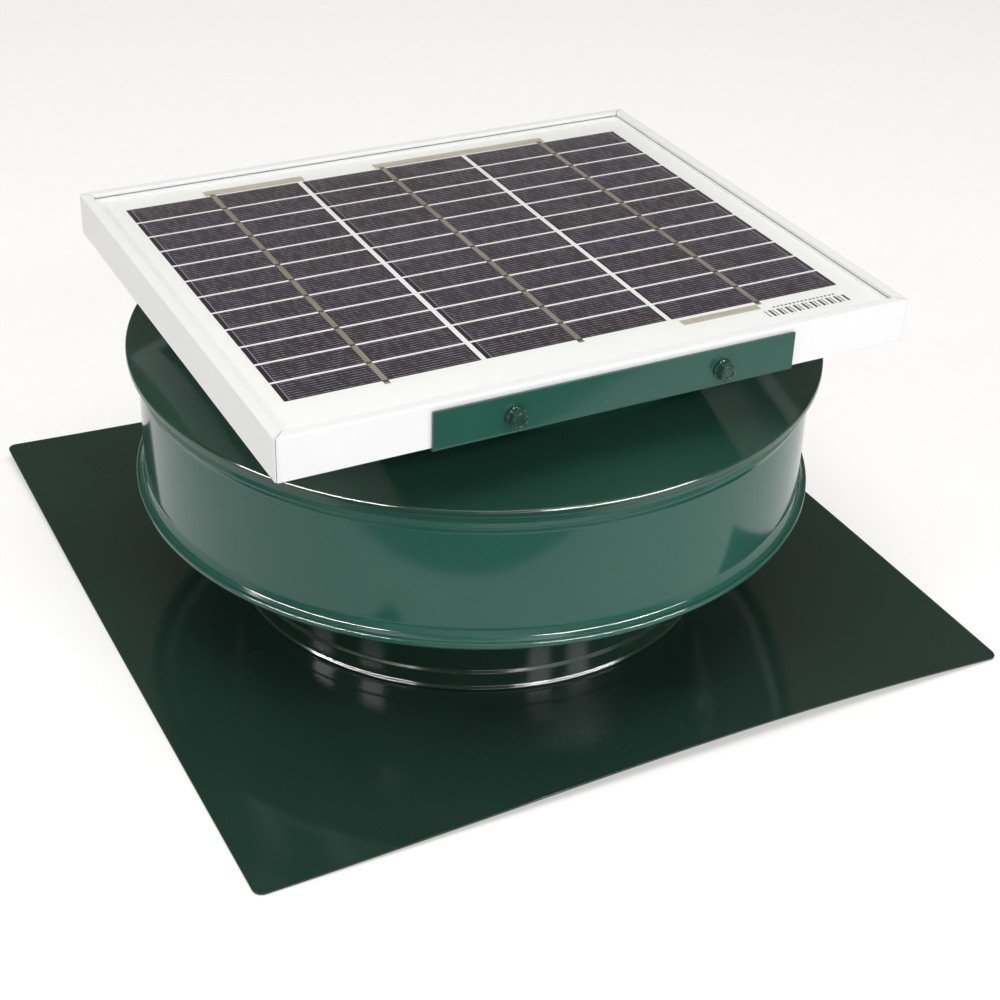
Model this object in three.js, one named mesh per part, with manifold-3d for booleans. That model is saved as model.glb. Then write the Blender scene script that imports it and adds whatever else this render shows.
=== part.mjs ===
// Solar attic fan: a roof vent with a square flashing flange, a round throat, a round cap with a
// wind band, a small DC motor and a fan wheel in the throat, and a solar panel on a folded bracket
// over the cap. Millimetres, +Z up, front towards -Y. The origin is the centre of the flange's
// underside, which is also the fan's axis.
import * as THREE from "three";
import { mergeVertices } from "three/addons/utils/BufferGeometryUtils.js";
import Module from "manifold-3d";

const wasm = await Module();
wasm.setup();

// ---- Driving dimensions -------------------------------------------------------------------

const GAP = 0.3; // between pieces that touch
const SHEET = 1.0; // spun and flat sheet of the vent body
const FACETS = 40; // sides of the large round pieces

const FLANGE_SIDE = 343;
const FLANGE_CORNER_R = 4;
const LIP_TOP = 9; // upturned lip round the throat hole

const THROAT_R = 106.5; // outside of the throat collar
const THROAT_TOP = 74;
const SLEEVE_TOP = 9.6; // lower stretch of the collar, stretched over the flange's lip

const BAND_R = 145.5; // outside of the wind band's wall
const BAND_BOTTOM = 52.7;
const BAND_TOP = 115.2;

const CAP_R = 150; // outside of the cap's rolled rim
const CAP_RIM_TOP = 116.6;
const CROWN_R = 109; // foot of the raised crown
const CROWN_FOOT_Z = 127;
const CAP_TOP = 145.5;
const CROWN_FLAT_R = 70;

const SCREEN_Z = 57;
const SCREEN_THICKNESS = 1.2;
const SCREEN_ROWS = 3;
const SCREEN_SLOTS = 20;

const LEG_COUNT = 4;
const LEG_WIDTH = 16;
const LEG_SHEET = 1.5;
const LEG_BOTTOM = 44;
const LEG_BEND_Z = 118; // where a leg turns inwards
const LEG_BOLT_R = 56; // from the axis to the bolts that hold cap, bracket and legs
const LEG_SCREW_Z = 50;

const STRAP_Z = 50; // underside of the motor strap
const STRAP_SHEET = 2;
const STRAP_WIDTH = 25;
const STRAP_EAR_X = 104.3; // outer face of the strap's ears
const STRAP_EAR_TOP = 68;
const STRAP_SCREW_Z = 63.5;

const SHAFT_R = 2.5;
const MOTOR_R = 21;
const MOTOR_HEIGHT = 39.7;
const MOTOR_WALL = 1.2;
const MOTOR_SCREW_X = 14;
const MOTOR_SCREW_R = 1.5;

const FAN_Z = 28; // middle of the fan wheel
const FAN_R = 98;
const FAN_DISC_R = 30;
const FAN_SHEET = 1.5;
const BLADES = 6;
const BLADE_PITCH = THREE.MathUtils.degToRad(20.5);
const BLADE_TIP_CHORD = 76;
const BLADE_ROOT_CHORD = 26;

const PANEL_LENGTH = 268.5;
const PANEL_WIDTH = 229.5;
const PANEL_HEIGHT = 17.8;
const PANEL_X = -9.5; // the panel sits a little to the left of the axis and forward of it
const PANEL_Y = -18;
const RAIL_WALL = 1.5;
const RAIL_LIP = 4.8;
const GLASS_THICKNESS = 3.2;
const CELL_COLUMNS = 3;
const CELL_ROWS = 12;
const CELL_LENGTH = 78;
const CELL_WIDTH = 13.8;
const CELL_COLUMN_GAP = 2.3;
const CELL_ROW_GAP = 1.5;
const CELL_RAISE = 0.3;
const CELLS_BACK = 4.7; // from the middle of the panel back to the middle of the cells

const BRACKET_SHEET = 1.1;
const BRACKET_LENGTH = 154;
const BRACKET_X = -7.5;
const EAR_HEIGHT = 16.7;
const PANEL_SCREW_SPACING = 89;
const PANEL_SCREW_Z = 153.7;

const CABLE_R = 2.2;
const GROMMET_Y = 8;
const BOX_LENGTH = 62;
const BOX_WIDTH = 40;
const BOX_FRONT_Y = 40;

// ---- Heights that follow from them ---------------------------------------------------------

const BRACKET_Z = CAP_TOP + GAP;
const PANEL_Z = BRACKET_Z + BRACKET_SHEET + GAP;
const MOTOR_Z = STRAP_Z + STRAP_SHEET + GAP;
const MOTOR_TOP = MOTOR_Z + MOTOR_HEIGHT;
const SHELF_TOP = 11; // of the rail's shelf, above the rail's underside
const LAMINATE_Z = PANEL_Z + SHELF_TOP + GAP;
const LAMINATE_SHEET = 1.2;
const GLASS_Z = LAMINATE_Z + LAMINATE_SHEET + CELL_RAISE + GAP;

// ---- Finishes ------------------------------------------------------------------------------

const finish = (color, roughness, metalness) => ({ color, roughness, metalness });
const GREEN_PAINT = finish(0x1f4638, 0.25, 0.1);
const WHITE_FRAME = finish(0xe4e6e8, 0.35, 0.3);
const BARE_STEEL = finish(0xa8abad, 0.35, 1.0);
const BARE_ALUMINIUM = finish(0xb9bcbe, 0.4, 1.0);
const DARK_STEEL = finish(0x4c4f52, 0.5, 1.0);
const BLACK_PLASTIC = finish(0x1b1c1d, 0.5, 0.0);
const BLACK_RUBBER = finish(0x141414, 0.8, 0.0);
const FERRITE = finish(0x2a2a2c, 0.7, 0.2);
const COPPER = finish(0xb06a3a, 0.35, 1.0);
const CARBON = finish(0x1c1c1c, 0.6, 0.0);
const GLASS = finish(0xdfe8ea, 0.05, 0.0);
const CELL_BLUE = finish(0x1d1b33, 0.3, 0.0);

// ---- Geometry helpers ----------------------------------------------------------------------

const X_AXIS = new THREE.Vector3(1, 0, 0);
const Y_AXIS = new THREE.Vector3(0, 1, 0);
const Z_AXIS = new THREE.Vector3(0, 0, 1);
// An outline drawn in (y, z) and extruded along x, and one drawn in (x, z) and extruded along y.
const ALONG_X = new THREE.Matrix4().makeBasis(Y_AXIS, Z_AXIS, X_AXIS);
const ALONG_Y = new THREE.Matrix4().makeBasis(X_AXIS, Z_AXIS, Y_AXIS.clone().negate());

function solid(geometry) {
  const bare = geometry.index ? geometry.toNonIndexed() : geometry.clone();
  bare.deleteAttribute("normal");
  bare.deleteAttribute("uv");
  const merged = mergeVertices(bare, 1e-4);
  const mesh = new wasm.Mesh({
    numProp: 3,
    vertProperties: merged.attributes.position.array,
    triVerts: new Uint32Array(merged.index.array),
  });
  return new wasm.Manifold(mesh);
}

function geometryOf(made) {
  const mesh = made.getMesh();
  const geometry = new THREE.BufferGeometry();
  geometry.setAttribute("position", new THREE.BufferAttribute(mesh.vertProperties, 3));
  geometry.setIndex(new THREE.BufferAttribute(mesh.triVerts, 1));
  const flat = geometry.toNonIndexed();
  flat.computeVertexNormals();
  return flat;
}

function joined(...geometries) {
  return geometryOf(geometries.map(solid).reduce((whole, piece) => whole.add(piece)));
}

function cut(geometry, ...tools) {
  return geometryOf(tools.map(solid).reduce((whole, tool) => whole.subtract(tool), solid(geometry)));
}

// A profile of [radius, height] points turned about Z. It runs anticlockwise with the radius to the
// right, and it starts and ends on the axis, or closes on itself.
function turned(profile, facets = FACETS) {
  const onAxis = profile[0][0] === 0;
  const points = profile.map(([r, z]) => new THREE.Vector2(r, z));
  if (!onAxis) points.push(points[0].clone());
  return new THREE.LatheGeometry(points, facets).rotateX(Math.PI / 2);
}

function outline(points) {
  return new THREE.Shape(points.map(([x, y]) => new THREE.Vector2(x, y)));
}

function extruded(shape, depth, curveSegments = 12) {
  return new THREE.ExtrudeGeometry(shape, { depth, bevelEnabled: false, curveSegments });
}

function block(x0, x1, y0, y1, z0, z1) {
  const box = new THREE.BoxGeometry(x1 - x0, y1 - y0, z1 - z0);
  return box.translate((x0 + x1) / 2, (y0 + y1) / 2, (z0 + z1) / 2);
}

// A round bar about Z from z0 to z1, used as a pin or as the tool for a round hole.
function bar(radius, z0, z1, x = 0, y = 0, facets = 16) {
  const cylinder = new THREE.CylinderGeometry(radius, radius, z1 - z0, facets).rotateX(Math.PI / 2);
  return cylinder.translate(x, y, (z0 + z1) / 2);
}

function hexagon(acrossFlats, z0, z1) {
  return bar(acrossFlats / Math.sqrt(3), z0, z1, 0, 0, 6);
}

// Turns a piece built along +Z so that it points outwards along +X, at height z.
function radial(geometry, z) {
  return geometry.rotateY(Math.PI / 2).translate(0, 0, z);
}

// Strip metal bent along a path of [u, v] points, as an outline of even thickness.
function bentOutline(path, thickness) {
  const points = path.map(([u, v]) => new THREE.Vector2(u, v));
  const along = (i) => points[i + 1].clone().sub(points[i]).normalize();
  const offset = (i, side) => {
    const before = along(Math.max(i - 1, 0));
    const after = along(Math.min(i, points.length - 2));
    const normal = new THREE.Vector2(-before.y - after.y, before.x + after.x).normalize();
    const widen = normal.dot(new THREE.Vector2(-before.y, before.x));
    return points[i].clone().addScaledVector(normal, (side * thickness) / 2 / widen);
  };
  const right = points.map((_, i) => offset(i, -1));
  const left = points.map((_, i) => offset(i, 1)).reverse();
  return new THREE.Shape([...right, ...left]);
}

function bentStrip(path, thickness, width, direction) {
  const strip = extruded(bentOutline(path, thickness), width).translate(0, 0, -width / 2);
  return strip.applyMatrix4(direction);
}

function piece(name, geometry, { color, roughness, metalness }) {
  const material = new THREE.MeshStandardMaterial({ color, roughness, metalness });
  const mesh = new THREE.Mesh(geometry, material);
  mesh.name = name;
  return mesh;
}

// Angles of evenly spaced stations round the axis.
function evenTurns(count, offset = 0) {
  return Array.from({ length: count }, (_, i) => offset + (i * 2 * Math.PI) / count);
}

function legTurns() {
  return evenTurns(LEG_COUNT, Math.PI / 4);
}

// ---- Fasteners: each is built along Z with its head above z = 0 and its shank below ---------

const WASHER_SCREW = { washerR: 4.2, washer: 1.0, flats: 6.35, hex: 3.2, shankR: 2.0 };
const FLANGE_BOLT = { washerR: 5.5, washer: 1.1, flats: 8, hex: 3.4, shankR: 2.5 };

function hexScrew({ washerR, washer, flats, hex, shankR }, length) {
  const body = turned(
    [
      [0, -length],
      [shankR, -length + shankR * 0.6],
      [shankR, 0],
      [washerR, 0],
      [washerR, washer * 0.5],
      [washerR * 0.86, washer],
      [0, washer],
    ],
    12,
  );
  return joined(body, hexagon(flats, washer / 2, washer + hex));
}

function panScrew(headR, head, shankR, length) {
  const body = turned(
    [
      [0, -length],
      [shankR, -length],
      [shankR, 0],
      [headR, 0],
      [headR, head * 0.5],
      [headR * 0.7, head],
      [0, head],
    ],
    12,
  );
  const slot = 0.35;
  return cut(body, block(-headR, headR, -slot, slot, head * 0.5, head + 1));
}

// ---- Vent body: flange, throat collar, wind band, cap, screen and legs ----------------------

// Flat flashing sheet with a lip turned up round the throat hole.
function baseFlange() {
  const half = FLANGE_SIDE / 2;
  const r = FLANGE_CORNER_R;
  const lipR = THROAT_R - SHEET - GAP;
  const seamR = THROAT_R + 4;
  const sheet = new THREE.Shape();
  sheet.moveTo(half - r, -half);
  sheet.absarc(half - r, -half + r, r, -Math.PI / 2, 0);
  sheet.absarc(half - r, half - r, r, 0, Math.PI / 2);
  sheet.absarc(-half + r, half - r, r, Math.PI / 2, Math.PI);
  sheet.absarc(-half + r, -half + r, r, Math.PI, 1.5 * Math.PI);
  const lip = turned([
    [lipR - SHEET, 0],
    [seamR, 0],
    [seamR, SHEET],
    [lipR, SHEET],
    [lipR, LIP_TOP],
    [lipR - SHEET, LIP_TOP],
  ]);
  const holed = cut(extruded(sheet, SHEET, 3), bar(seamR - 1, -1, SHEET + 1, 0, 0, FACETS));
  return piece("base_flange", joined(holed, lip), GREEN_PAINT);
}

function collarScrewHoles() {
  const hole = () => bar(WASHER_SCREW.shankR + GAP, THROAT_R - 8, THROAT_R + 8);
  const strap = [0, Math.PI].map((turn) => radial(hole(), STRAP_SCREW_Z).rotateZ(turn));
  const legs = legTurns().map((turn) => radial(hole(), LEG_SCREW_Z).rotateZ(turn));
  return [...strap, ...legs];
}

// Round throat: a foot seam, a sleeve over the flange's lip and a top edge rolled inwards.
function throatCollar() {
  const inner = THROAT_R - SHEET;
  const foot = SHEET + GAP;
  const curl = 3.4;
  const wall = turned([
    [inner, foot],
    [THROAT_R + 1.2, foot],
    [THROAT_R + 1.7, foot + 0.9],
    [THROAT_R + 0.8, foot + 2.2],
    [THROAT_R + 0.8, SLEEVE_TOP],
    [THROAT_R, SLEEVE_TOP + 1.1],
    [THROAT_R, THROAT_TOP - 1],
    [THROAT_R - 1, THROAT_TOP],
    [THROAT_R - curl + 1, THROAT_TOP],
    [THROAT_R - curl, THROAT_TOP - 1],
    [THROAT_R - curl, THROAT_TOP - curl + 1],
    [THROAT_R - curl + 1, THROAT_TOP - curl],
    [inner, THROAT_TOP - curl],
  ]);
  return piece("throat_collar", cut(wall, ...collarScrewHoles()), GREEN_PAINT);
}

// Wind band: a thick rolled lower rim, a flare, the wall, a stiffening bead and a top flange.
function windBand() {
  const lipR = CAP_R - 0.6;
  const lip = 3.1;
  const neckR = BAND_R + 0.9;
  const flangeR = CAP_R - 1.4;
  const flange = 0.7;
  const band = turned([
    [lipR - 2.4, BAND_BOTTOM],
    [lipR - 0.5, BAND_BOTTOM],
    [lipR, BAND_BOTTOM + 0.6],
    [lipR, BAND_BOTTOM + lip - 0.6],
    [lipR - 0.5, BAND_BOTTOM + lip],
    [BAND_R + 1.2, BAND_BOTTOM + lip + 1.4],
    [BAND_R, BAND_BOTTOM + lip + 4.2],
    [BAND_R, BAND_TOP - 10.6],
    [neckR + 0.6, BAND_TOP - 8],
    [neckR, BAND_TOP - 6],
    [neckR, BAND_TOP - flange],
    [flangeR, BAND_TOP - flange],
    [flangeR, BAND_TOP],
    [neckR - SHEET, BAND_TOP],
    [neckR - SHEET, BAND_TOP - 7],
    [BAND_R - SHEET, BAND_TOP - 10.6],
    [BAND_R - SHEET, BAND_BOTTOM + lip + 4.4],
    [lipR - 3, BAND_BOTTOM + lip + 0.4],
    [lipR - 3, BAND_BOTTOM + 0.6],
  ]);
  return piece("wind_band", band, GREEN_PAINT);
}

// Height of the cap's outer face at the crown's shoulder, a quarter ellipse between foot and flat.
function crownShoulder(steps) {
  const foot = { r: CROWN_R - 3, z: CROWN_FOOT_Z + 2 };
  const points = [];
  for (let i = 0; i <= steps; i += 1) {
    const turn = (i / steps) * (Math.PI / 2);
    const r = CROWN_FLAT_R + (foot.r - CROWN_FLAT_R) * Math.cos(turn);
    points.push([r, foot.z + (CAP_TOP - foot.z) * Math.sin(turn)]);
  }
  return points;
}

// Spun cap: its rim is rolled round the band's flange, a shallow cone rises to a raised crown.
function capDome() {
  const top = [[CROWN_R, CROWN_FOOT_Z], ...crownShoulder(4), [0, CAP_TOP]];
  const under = top.map(([r, z]) => [Math.max(r - (r > CROWN_FLAT_R ? SHEET * 0.7 : 0), 0), z - SHEET]);
  const hookTop = BAND_TOP - 1.0;
  const shell = turned([
    ...under.reverse(),
    [CAP_R - 1, CAP_RIM_TOP - SHEET],
    [CAP_R - 1, hookTop],
    [CAP_R - 2.6, hookTop],
    [CAP_R - 2.6, hookTop - 0.8],
    [CAP_R, hookTop - 0.8],
    [CAP_R, CAP_RIM_TOP - 0.6],
    [CAP_R - 0.6, CAP_RIM_TOP],
    ...top,
  ]);
  return piece("cap_dome", cut(shell, ...crownHoles(CAP_TOP)), GREEN_PAINT);
}

// Holes at height z for the bolts and the cable, which pass through both the crown and the bracket.
function crownHoles(z) {
  const bolts = boltPlaces().map(([x, y]) => bar(FLANGE_BOLT.shankR + GAP, z - 4, z + 4, x, y));
  return [...bolts, bar(GROMMET.neckR + GAP, z - 4, z + 4, 0, GROMMET_Y)];
}

function boltPlaces() {
  return legTurns().map((turn) => [LEG_BOLT_R * Math.cos(turn), LEG_BOLT_R * Math.sin(turn)]);
}

// Flat ring of stamped slots that closes the air outlet between the collar and the wind band.
function exhaustScreen() {
  const inner = THROAT_R + GAP;
  const outer = BAND_R - SHEET - GAP * 2;
  const edge = 3.2;
  const rib = 2.4;
  const rowDepth = (outer - inner - 2 * edge + rib) / SCREEN_ROWS;
  const ring = turned([
    [inner, SCREEN_Z],
    [outer, SCREEN_Z],
    [outer, SCREEN_Z + SCREEN_THICKNESS],
    [inner, SCREEN_Z + SCREEN_THICKNESS],
  ]);
  const tools = [];
  for (let row = 0; row < SCREEN_ROWS; row += 1) {
    const r0 = inner + edge + row * rowDepth;
    const r1 = r0 + rowDepth - rib;
    for (const turn of evenTurns(SCREEN_SLOTS, Math.PI / SCREEN_SLOTS)) {
      const half0 = (Math.PI * r0) / SCREEN_SLOTS - rib / 2;
      const half1 = (Math.PI * r1) / SCREEN_SLOTS - rib / 2;
      const slot = outline([[r0, -half0], [r1, -half1], [r1, half1], [r0, half0]]);
      tools.push(extruded(slot, 4).rotateZ(turn).translate(0, 0, SCREEN_Z - 1));
    }
  }
  const halfNotch = LEG_WIDTH / 2 + 0.6;
  const notchR = THROAT_R + 2 * GAP + LEG_SHEET + 0.6;
  for (const turn of legTurns()) {
    tools.push(block(inner - 4, notchR, -halfNotch, halfNotch, SCREEN_Z - 1, SCREEN_Z + 3).rotateZ(turn));
  }
  return piece("exhaust_screen", cut(ring, ...tools), BARE_STEEL);
}

// One bent leg: screwed to the outside of the throat, and bolted under the crown.
function capLeg(index, turn) {
  const x = THROAT_R + GAP + 0.1 + LEG_SHEET / 2;
  const top = CAP_TOP - SHEET - GAP - LEG_SHEET / 2;
  const path = [
    [x, LEG_BOTTOM],
    [x, LEG_BEND_Z - 6],
    [x - 3, LEG_BEND_Z],
    [LEG_BOLT_R + 14, top - 3],
    [LEG_BOLT_R + 10, top],
    [LEG_BOLT_R - 9, top],
  ];
  const strip = bentStrip(path, LEG_SHEET, LEG_WIDTH, ALONG_Y);
  const screwHole = radial(bar(WASHER_SCREW.shankR + GAP, x - 5, x + 5), LEG_SCREW_Z);
  const boltHole = bar(FLANGE_BOLT.shankR + GAP, top - 5, top + 5, LEG_BOLT_R);
  return piece(`cap_leg_${index}`, cut(strip, screwHole, boltHole).rotateZ(turn), BARE_ALUMINIUM);
}

function legSet() {
  const group = new THREE.Group();
  const screwX = THROAT_R + 2 * GAP + 0.1 + LEG_SHEET;
  const nutTop = CAP_TOP - SHEET - 2 * GAP - LEG_SHEET;
  const nut = 4;
  legTurns().forEach((turn, i) => {
    const station = new THREE.Group();
    const index = i + 1;
    const bolt = piece(`cap_bolt_${index}`, hexScrew(FLANGE_BOLT, 12), BARE_STEEL);
    bolt.position.set(LEG_BOLT_R, 0, BRACKET_Z + BRACKET_SHEET + GAP);
    const nutRing = cut(hexagon(FLANGE_BOLT.flats, 0, nut), bar(FLANGE_BOLT.shankR + GAP, -1, nut + 1));
    const capNut = piece(`cap_nut_${index}`, nutRing, BARE_STEEL);
    capNut.position.set(LEG_BOLT_R, 0, nutTop - nut);
    const screw = piece(`leg_screw_${index}`, radial(hexScrew(WASHER_SCREW, 8), 0), BARE_STEEL);
    screw.position.set(screwX, 0, LEG_SCREW_Z);
    station.add(bolt, capNut, screw);
    station.rotation.z = turn;
    group.add(capLeg(index, turn), station);
  });
  return group;
}

// ---- Motor: strap across the throat, can, magnets, bearings, end cap, shaft and armature ----

function motorScrewHoles(z0, z1) {
  return [-MOTOR_SCREW_X, MOTOR_SCREW_X].map((x) => bar(MOTOR_SCREW_R + GAP, z0, z1, x));
}

function motorStrap() {
  const middle = STRAP_Z + STRAP_SHEET / 2;
  const x = STRAP_EAR_X - STRAP_SHEET / 2;
  const bend = 3;
  const half = [
    [x - bend, middle],
    [x - bend * 0.3, middle + bend * 0.3],
    [x, middle + bend],
    [x, STRAP_EAR_TOP],
  ];
  const mirrored = half.map(([u, v]) => [-u, v]).reverse();
  const strip = bentStrip([...mirrored, ...half], STRAP_SHEET, STRAP_WIDTH, ALONG_Y);
  const screws = motorScrewHoles(STRAP_Z - 2, STRAP_Z + STRAP_SHEET + 2);
  const earHole = radial(bar(WASHER_SCREW.shankR + GAP, -THROAT_R, THROAT_R), STRAP_SCREW_Z);
  const bossHole = bar(9, STRAP_Z - 2, STRAP_Z + STRAP_SHEET + 2, 0, 0, 24);
  return piece("motor_strap", cut(strip, bossHole, earHole, ...screws), BARE_ALUMINIUM);
}

function motorCan() {
  const inner = MOTOR_R - MOTOR_WALL;
  const plate = MOTOR_Z + 1.5;
  const pocketR = 8.3;
  const can = turned(
    [
      [5, MOTOR_Z],
      [MOTOR_R - 1, MOTOR_Z],
      [MOTOR_R, MOTOR_Z + 1],
      [MOTOR_R, MOTOR_TOP],
      [inner, MOTOR_TOP],
      [inner, plate],
      [pocketR + 2, plate],
      [pocketR + 2, plate + 4.6],
      [pocketR, plate + 4.6],
      [pocketR, plate],
      [5, plate],
    ],
    24,
  );
  return piece("motor_can", cut(can, ...motorScrewHoles(MOTOR_Z - 2, plate + 2)), DARK_STEEL);
}

function motorEndCap() {
  const base = MOTOR_TOP + GAP;
  const spigotR = MOTOR_R - MOTOR_WALL - 0.4;
  const pocketR = 6.3;
  const cap = turned(
    [
      [0, base + 3.7],
      [pocketR, base + 3.7],
      [pocketR, base - 1.8],
      [pocketR + 2, base - 1.8],
      [pocketR + 2, base - GAP],
      [spigotR - 2, base - GAP],
      [spigotR - 2, base - 4.3],
      [spigotR, base - 4.3],
      [spigotR, base],
      [MOTOR_R, base],
      [MOTOR_R, base + 1.4],
      [MOTOR_R - 0.6, base + 2],
      [pocketR + 3, base + 2],
      [pocketR + 2.4, base + 5.7],
      [0, base + 5.7],
    ],
    24,
  );
  const cable = bar(CABLE_R + 0.4, base - 3, base + 3, 0, CABLE_END.y);
  return piece("motor_end_cap", cut(cap, cable), BLACK_PLASTIC);
}

function magnet(index, turn) {
  const inner = 16;
  const outer = MOTOR_R - MOTOR_WALL - 0.6;
  const halfSpan = THREE.MathUtils.degToRad(62);
  const shape = new THREE.Shape();
  shape.absarc(0, 0, outer, -halfSpan, halfSpan, false);
  shape.absarc(0, 0, inner, halfSpan, -halfSpan, true);
  const arc = extruded(shape, 24, 8).rotateZ(turn).translate(0, 0, MOTOR_Z + 8);
  return piece(`motor_magnet_${index}`, arc, FERRITE);
}

function bearing(name, z, outer, height) {
  const bore = SHAFT_R + GAP;
  const ring = turned([[bore, z], [outer, z], [outer, z + height], [bore, z + height]], 24);
  return piece(name, ring, BARE_STEEL);
}

function brush(index, side) {
  const box = block(5.8, 16.6, -2, 2, MOTOR_TOP - 7, MOTOR_TOP - 3.5);
  return piece(`motor_brush_${index}`, side > 0 ? box : box.rotateZ(Math.PI), CARBON);
}

function motorScrew(index, x) {
  const mesh = piece(`motor_screw_${index}`, panScrew(2.8, 2.0, MOTOR_SCREW_R, 7), BARE_STEEL);
  mesh.position.set(x, 0, STRAP_Z - GAP);
  mesh.rotation.x = Math.PI;
  return mesh;
}

function strapScrew(index, turn) {
  const geometry = radial(hexScrew(WASHER_SCREW, 9), 0).translate(THROAT_R + GAP, 0, STRAP_SCREW_Z);
  return piece(`strap_screw_${index}`, geometry.rotateZ(turn), BARE_STEEL);
}

function motorSet() {
  const group = new THREE.Group();
  group.add(
    motorStrap(),
    motorCan(),
    motorEndCap(),
    magnet(1, Math.PI / 2),
    magnet(2, -Math.PI / 2),
    bearing("bearing_front", MOTOR_Z + 1.8, 8, 4),
    bearing("bearing_rear", MOTOR_TOP - 1, 6, 4.5),
    brush(1, 1),
    brush(2, -1),
    motorScrew(1, MOTOR_SCREW_X),
    motorScrew(2, -MOTOR_SCREW_X),
    strapScrew(1, 0),
    strapScrew(2, Math.PI),
  );
  return group;
}

// ---- Rotor: everything that turns with the fan ----------------------------------------------

function motorShaft() {
  const bottom = FAN_Z - 10;
  const top = MOTOR_TOP + 3.2;
  const chamfer = 0.6;
  const shaft = turned(
    [
      [0, bottom],
      [SHAFT_R - chamfer, bottom],
      [SHAFT_R, bottom + chamfer],
      [SHAFT_R, top - chamfer],
      [SHAFT_R - chamfer, top],
      [0, top],
    ],
    20,
  );
  return piece("motor_shaft", shaft, BARE_STEEL);
}

// Laminated armature with T-shaped poles.
function armature() {
  const poles = 5;
  const core = 6;
  const shoeInner = 12.5;
  const shoeOuter = 15.2;
  const shoeHalf = THREE.MathUtils.degToRad(28);
  const stemAt = (r) => Math.asin(2 / r);
  const points = [];
  for (const turn of evenTurns(poles)) {
    const polar = (r, angle) => points.push([r * Math.cos(turn + angle), r * Math.sin(turn + angle)]);
    polar(core, -stemAt(core));
    polar(shoeInner, -stemAt(shoeInner));
    polar(shoeInner, -shoeHalf);
    for (const part of [-1, -0.5, 0, 0.5, 1]) polar(shoeOuter, part * shoeHalf);
    polar(shoeInner, shoeHalf);
    polar(shoeInner, stemAt(shoeInner));
    polar(core, stemAt(core));
  }
  const stack = extruded(outline(points), 20).translate(0, 0, MOTOR_Z + 10);
  return piece("armature", cut(stack, bar(SHAFT_R + GAP, MOTOR_Z, MOTOR_TOP)), DARK_STEEL);
}

function commutator() {
  const bore = SHAFT_R + GAP;
  const z = MOTOR_TOP - 8;
  return piece("commutator", turned([[bore, z], [5.4, z], [5.4, z + 5.5], [bore, z + 5.5]], 20), COPPER);
}

function smoothStep(value) {
  const t = THREE.MathUtils.clamp(value, 0, 1);
  return t * t * (3 - 2 * t);
}

// One blade, pressed from the wheel's sheet: flat at the disc, then twisted to its pitch, with the
// leading edge low, so that turning anticlockwise from above lifts the air.
function bladeGeometry(turn) {
  const across = 4;
  const outward = 5;
  const rootR = FAN_DISC_R - 6;
  const camber = 2.2;
  const sides = [FAN_SHEET / 2, -FAN_SHEET / 2];
  const positions = [];
  for (const side of sides) {
    for (let i = 0; i <= outward; i += 1) {
      const share = i / outward;
      const r = rootR + (FAN_R - rootR) * share;
      const chord = BLADE_ROOT_CHORD + (BLADE_TIP_CHORD - BLADE_ROOT_CHORD) * Math.sqrt(share);
      const twist = smoothStep((r - FAN_DISC_R + 2) / 22);
      const pitch = BLADE_PITCH * twist;
      for (let j = 0; j <= across; j += 1) {
        const t = (2 * j) / across - 1;
        const s = (t * chord) / 2;
        const angle = turn + (s * Math.cos(pitch)) / r;
        const z = FAN_Z - s * Math.sin(pitch) + camber * twist * (1 - t * t) + side;
        positions.push(r * Math.cos(angle), r * Math.sin(angle), z);
      }
    }
  }
  const row = across + 1;
  const layer = row * (outward + 1);
  const faces = [];
  const quad = (a, b, c, d) => faces.push(a, b, c, a, c, d);
  for (let i = 0; i < outward; i += 1) {
    for (let j = 0; j < across; j += 1) {
      const a = i * row + j;
      quad(a, a + row, a + row + 1, a + 1);
      quad(layer + a, layer + a + 1, layer + a + row + 1, layer + a + row);
    }
    const low = i * row;
    const high = low + across;
    quad(low + row, low, layer + low, layer + low + row);
    quad(high, high + row, layer + high + row, layer + high);
  }
  for (let j = 0; j < across; j += 1) {
    const tip = outward * row + j;
    quad(j, j + 1, layer + j + 1, layer + j);
    quad(tip + 1, tip, layer + tip, layer + tip + 1);
  }
  const geometry = new THREE.BufferGeometry();
  geometry.setAttribute("position", new THREE.BufferAttribute(new Float32Array(positions), 3));
  geometry.setIndex(faces);
  return geometry;
}

const SPIGOT_R = 6;

function fanWheel() {
  const half = FAN_SHEET / 2;
  const disc = bar(FAN_DISC_R, FAN_Z - half, FAN_Z + half, 0, 0, 36);
  const blades = evenTurns(BLADES).map(bladeGeometry);
  const wheel = joined(disc, ...blades);
  const bore = bar(SPIGOT_R + GAP, FAN_Z - 5, FAN_Z + 5, 0, 0, 24);
  return piece("fan_wheel", cut(wheel, bore), BARE_ALUMINIUM);
}

const HUB_SCREW_Z = FAN_Z + 11;
const HUB_R = 8;

// Turned hub, staked through the wheel's hole and clamped on the shaft by a set screw.
function fanHub() {
  const under = FAN_Z - FAN_SHEET / 2 - GAP;
  const over = FAN_Z + FAN_SHEET / 2 + GAP;
  const bore = SHAFT_R + GAP;
  const hub = turned(
    [
      [bore, under - 2],
      [SPIGOT_R + 1, under - 2],
      [SPIGOT_R + 1.8, under - 1],
      [SPIGOT_R + 1.8, under],
      [SPIGOT_R, under],
      [SPIGOT_R, over],
      [14, over],
      [14, over + 2],
      [HUB_R, over + 2],
      [HUB_R, FAN_Z + 17],
      [HUB_R - 1, FAN_Z + 18],
      [bore, FAN_Z + 18],
    ],
    24,
  );
  return piece("fan_hub", cut(hub, radial(bar(2.2, 0, 12), HUB_SCREW_Z)), BARE_ALUMINIUM);
}

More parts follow.
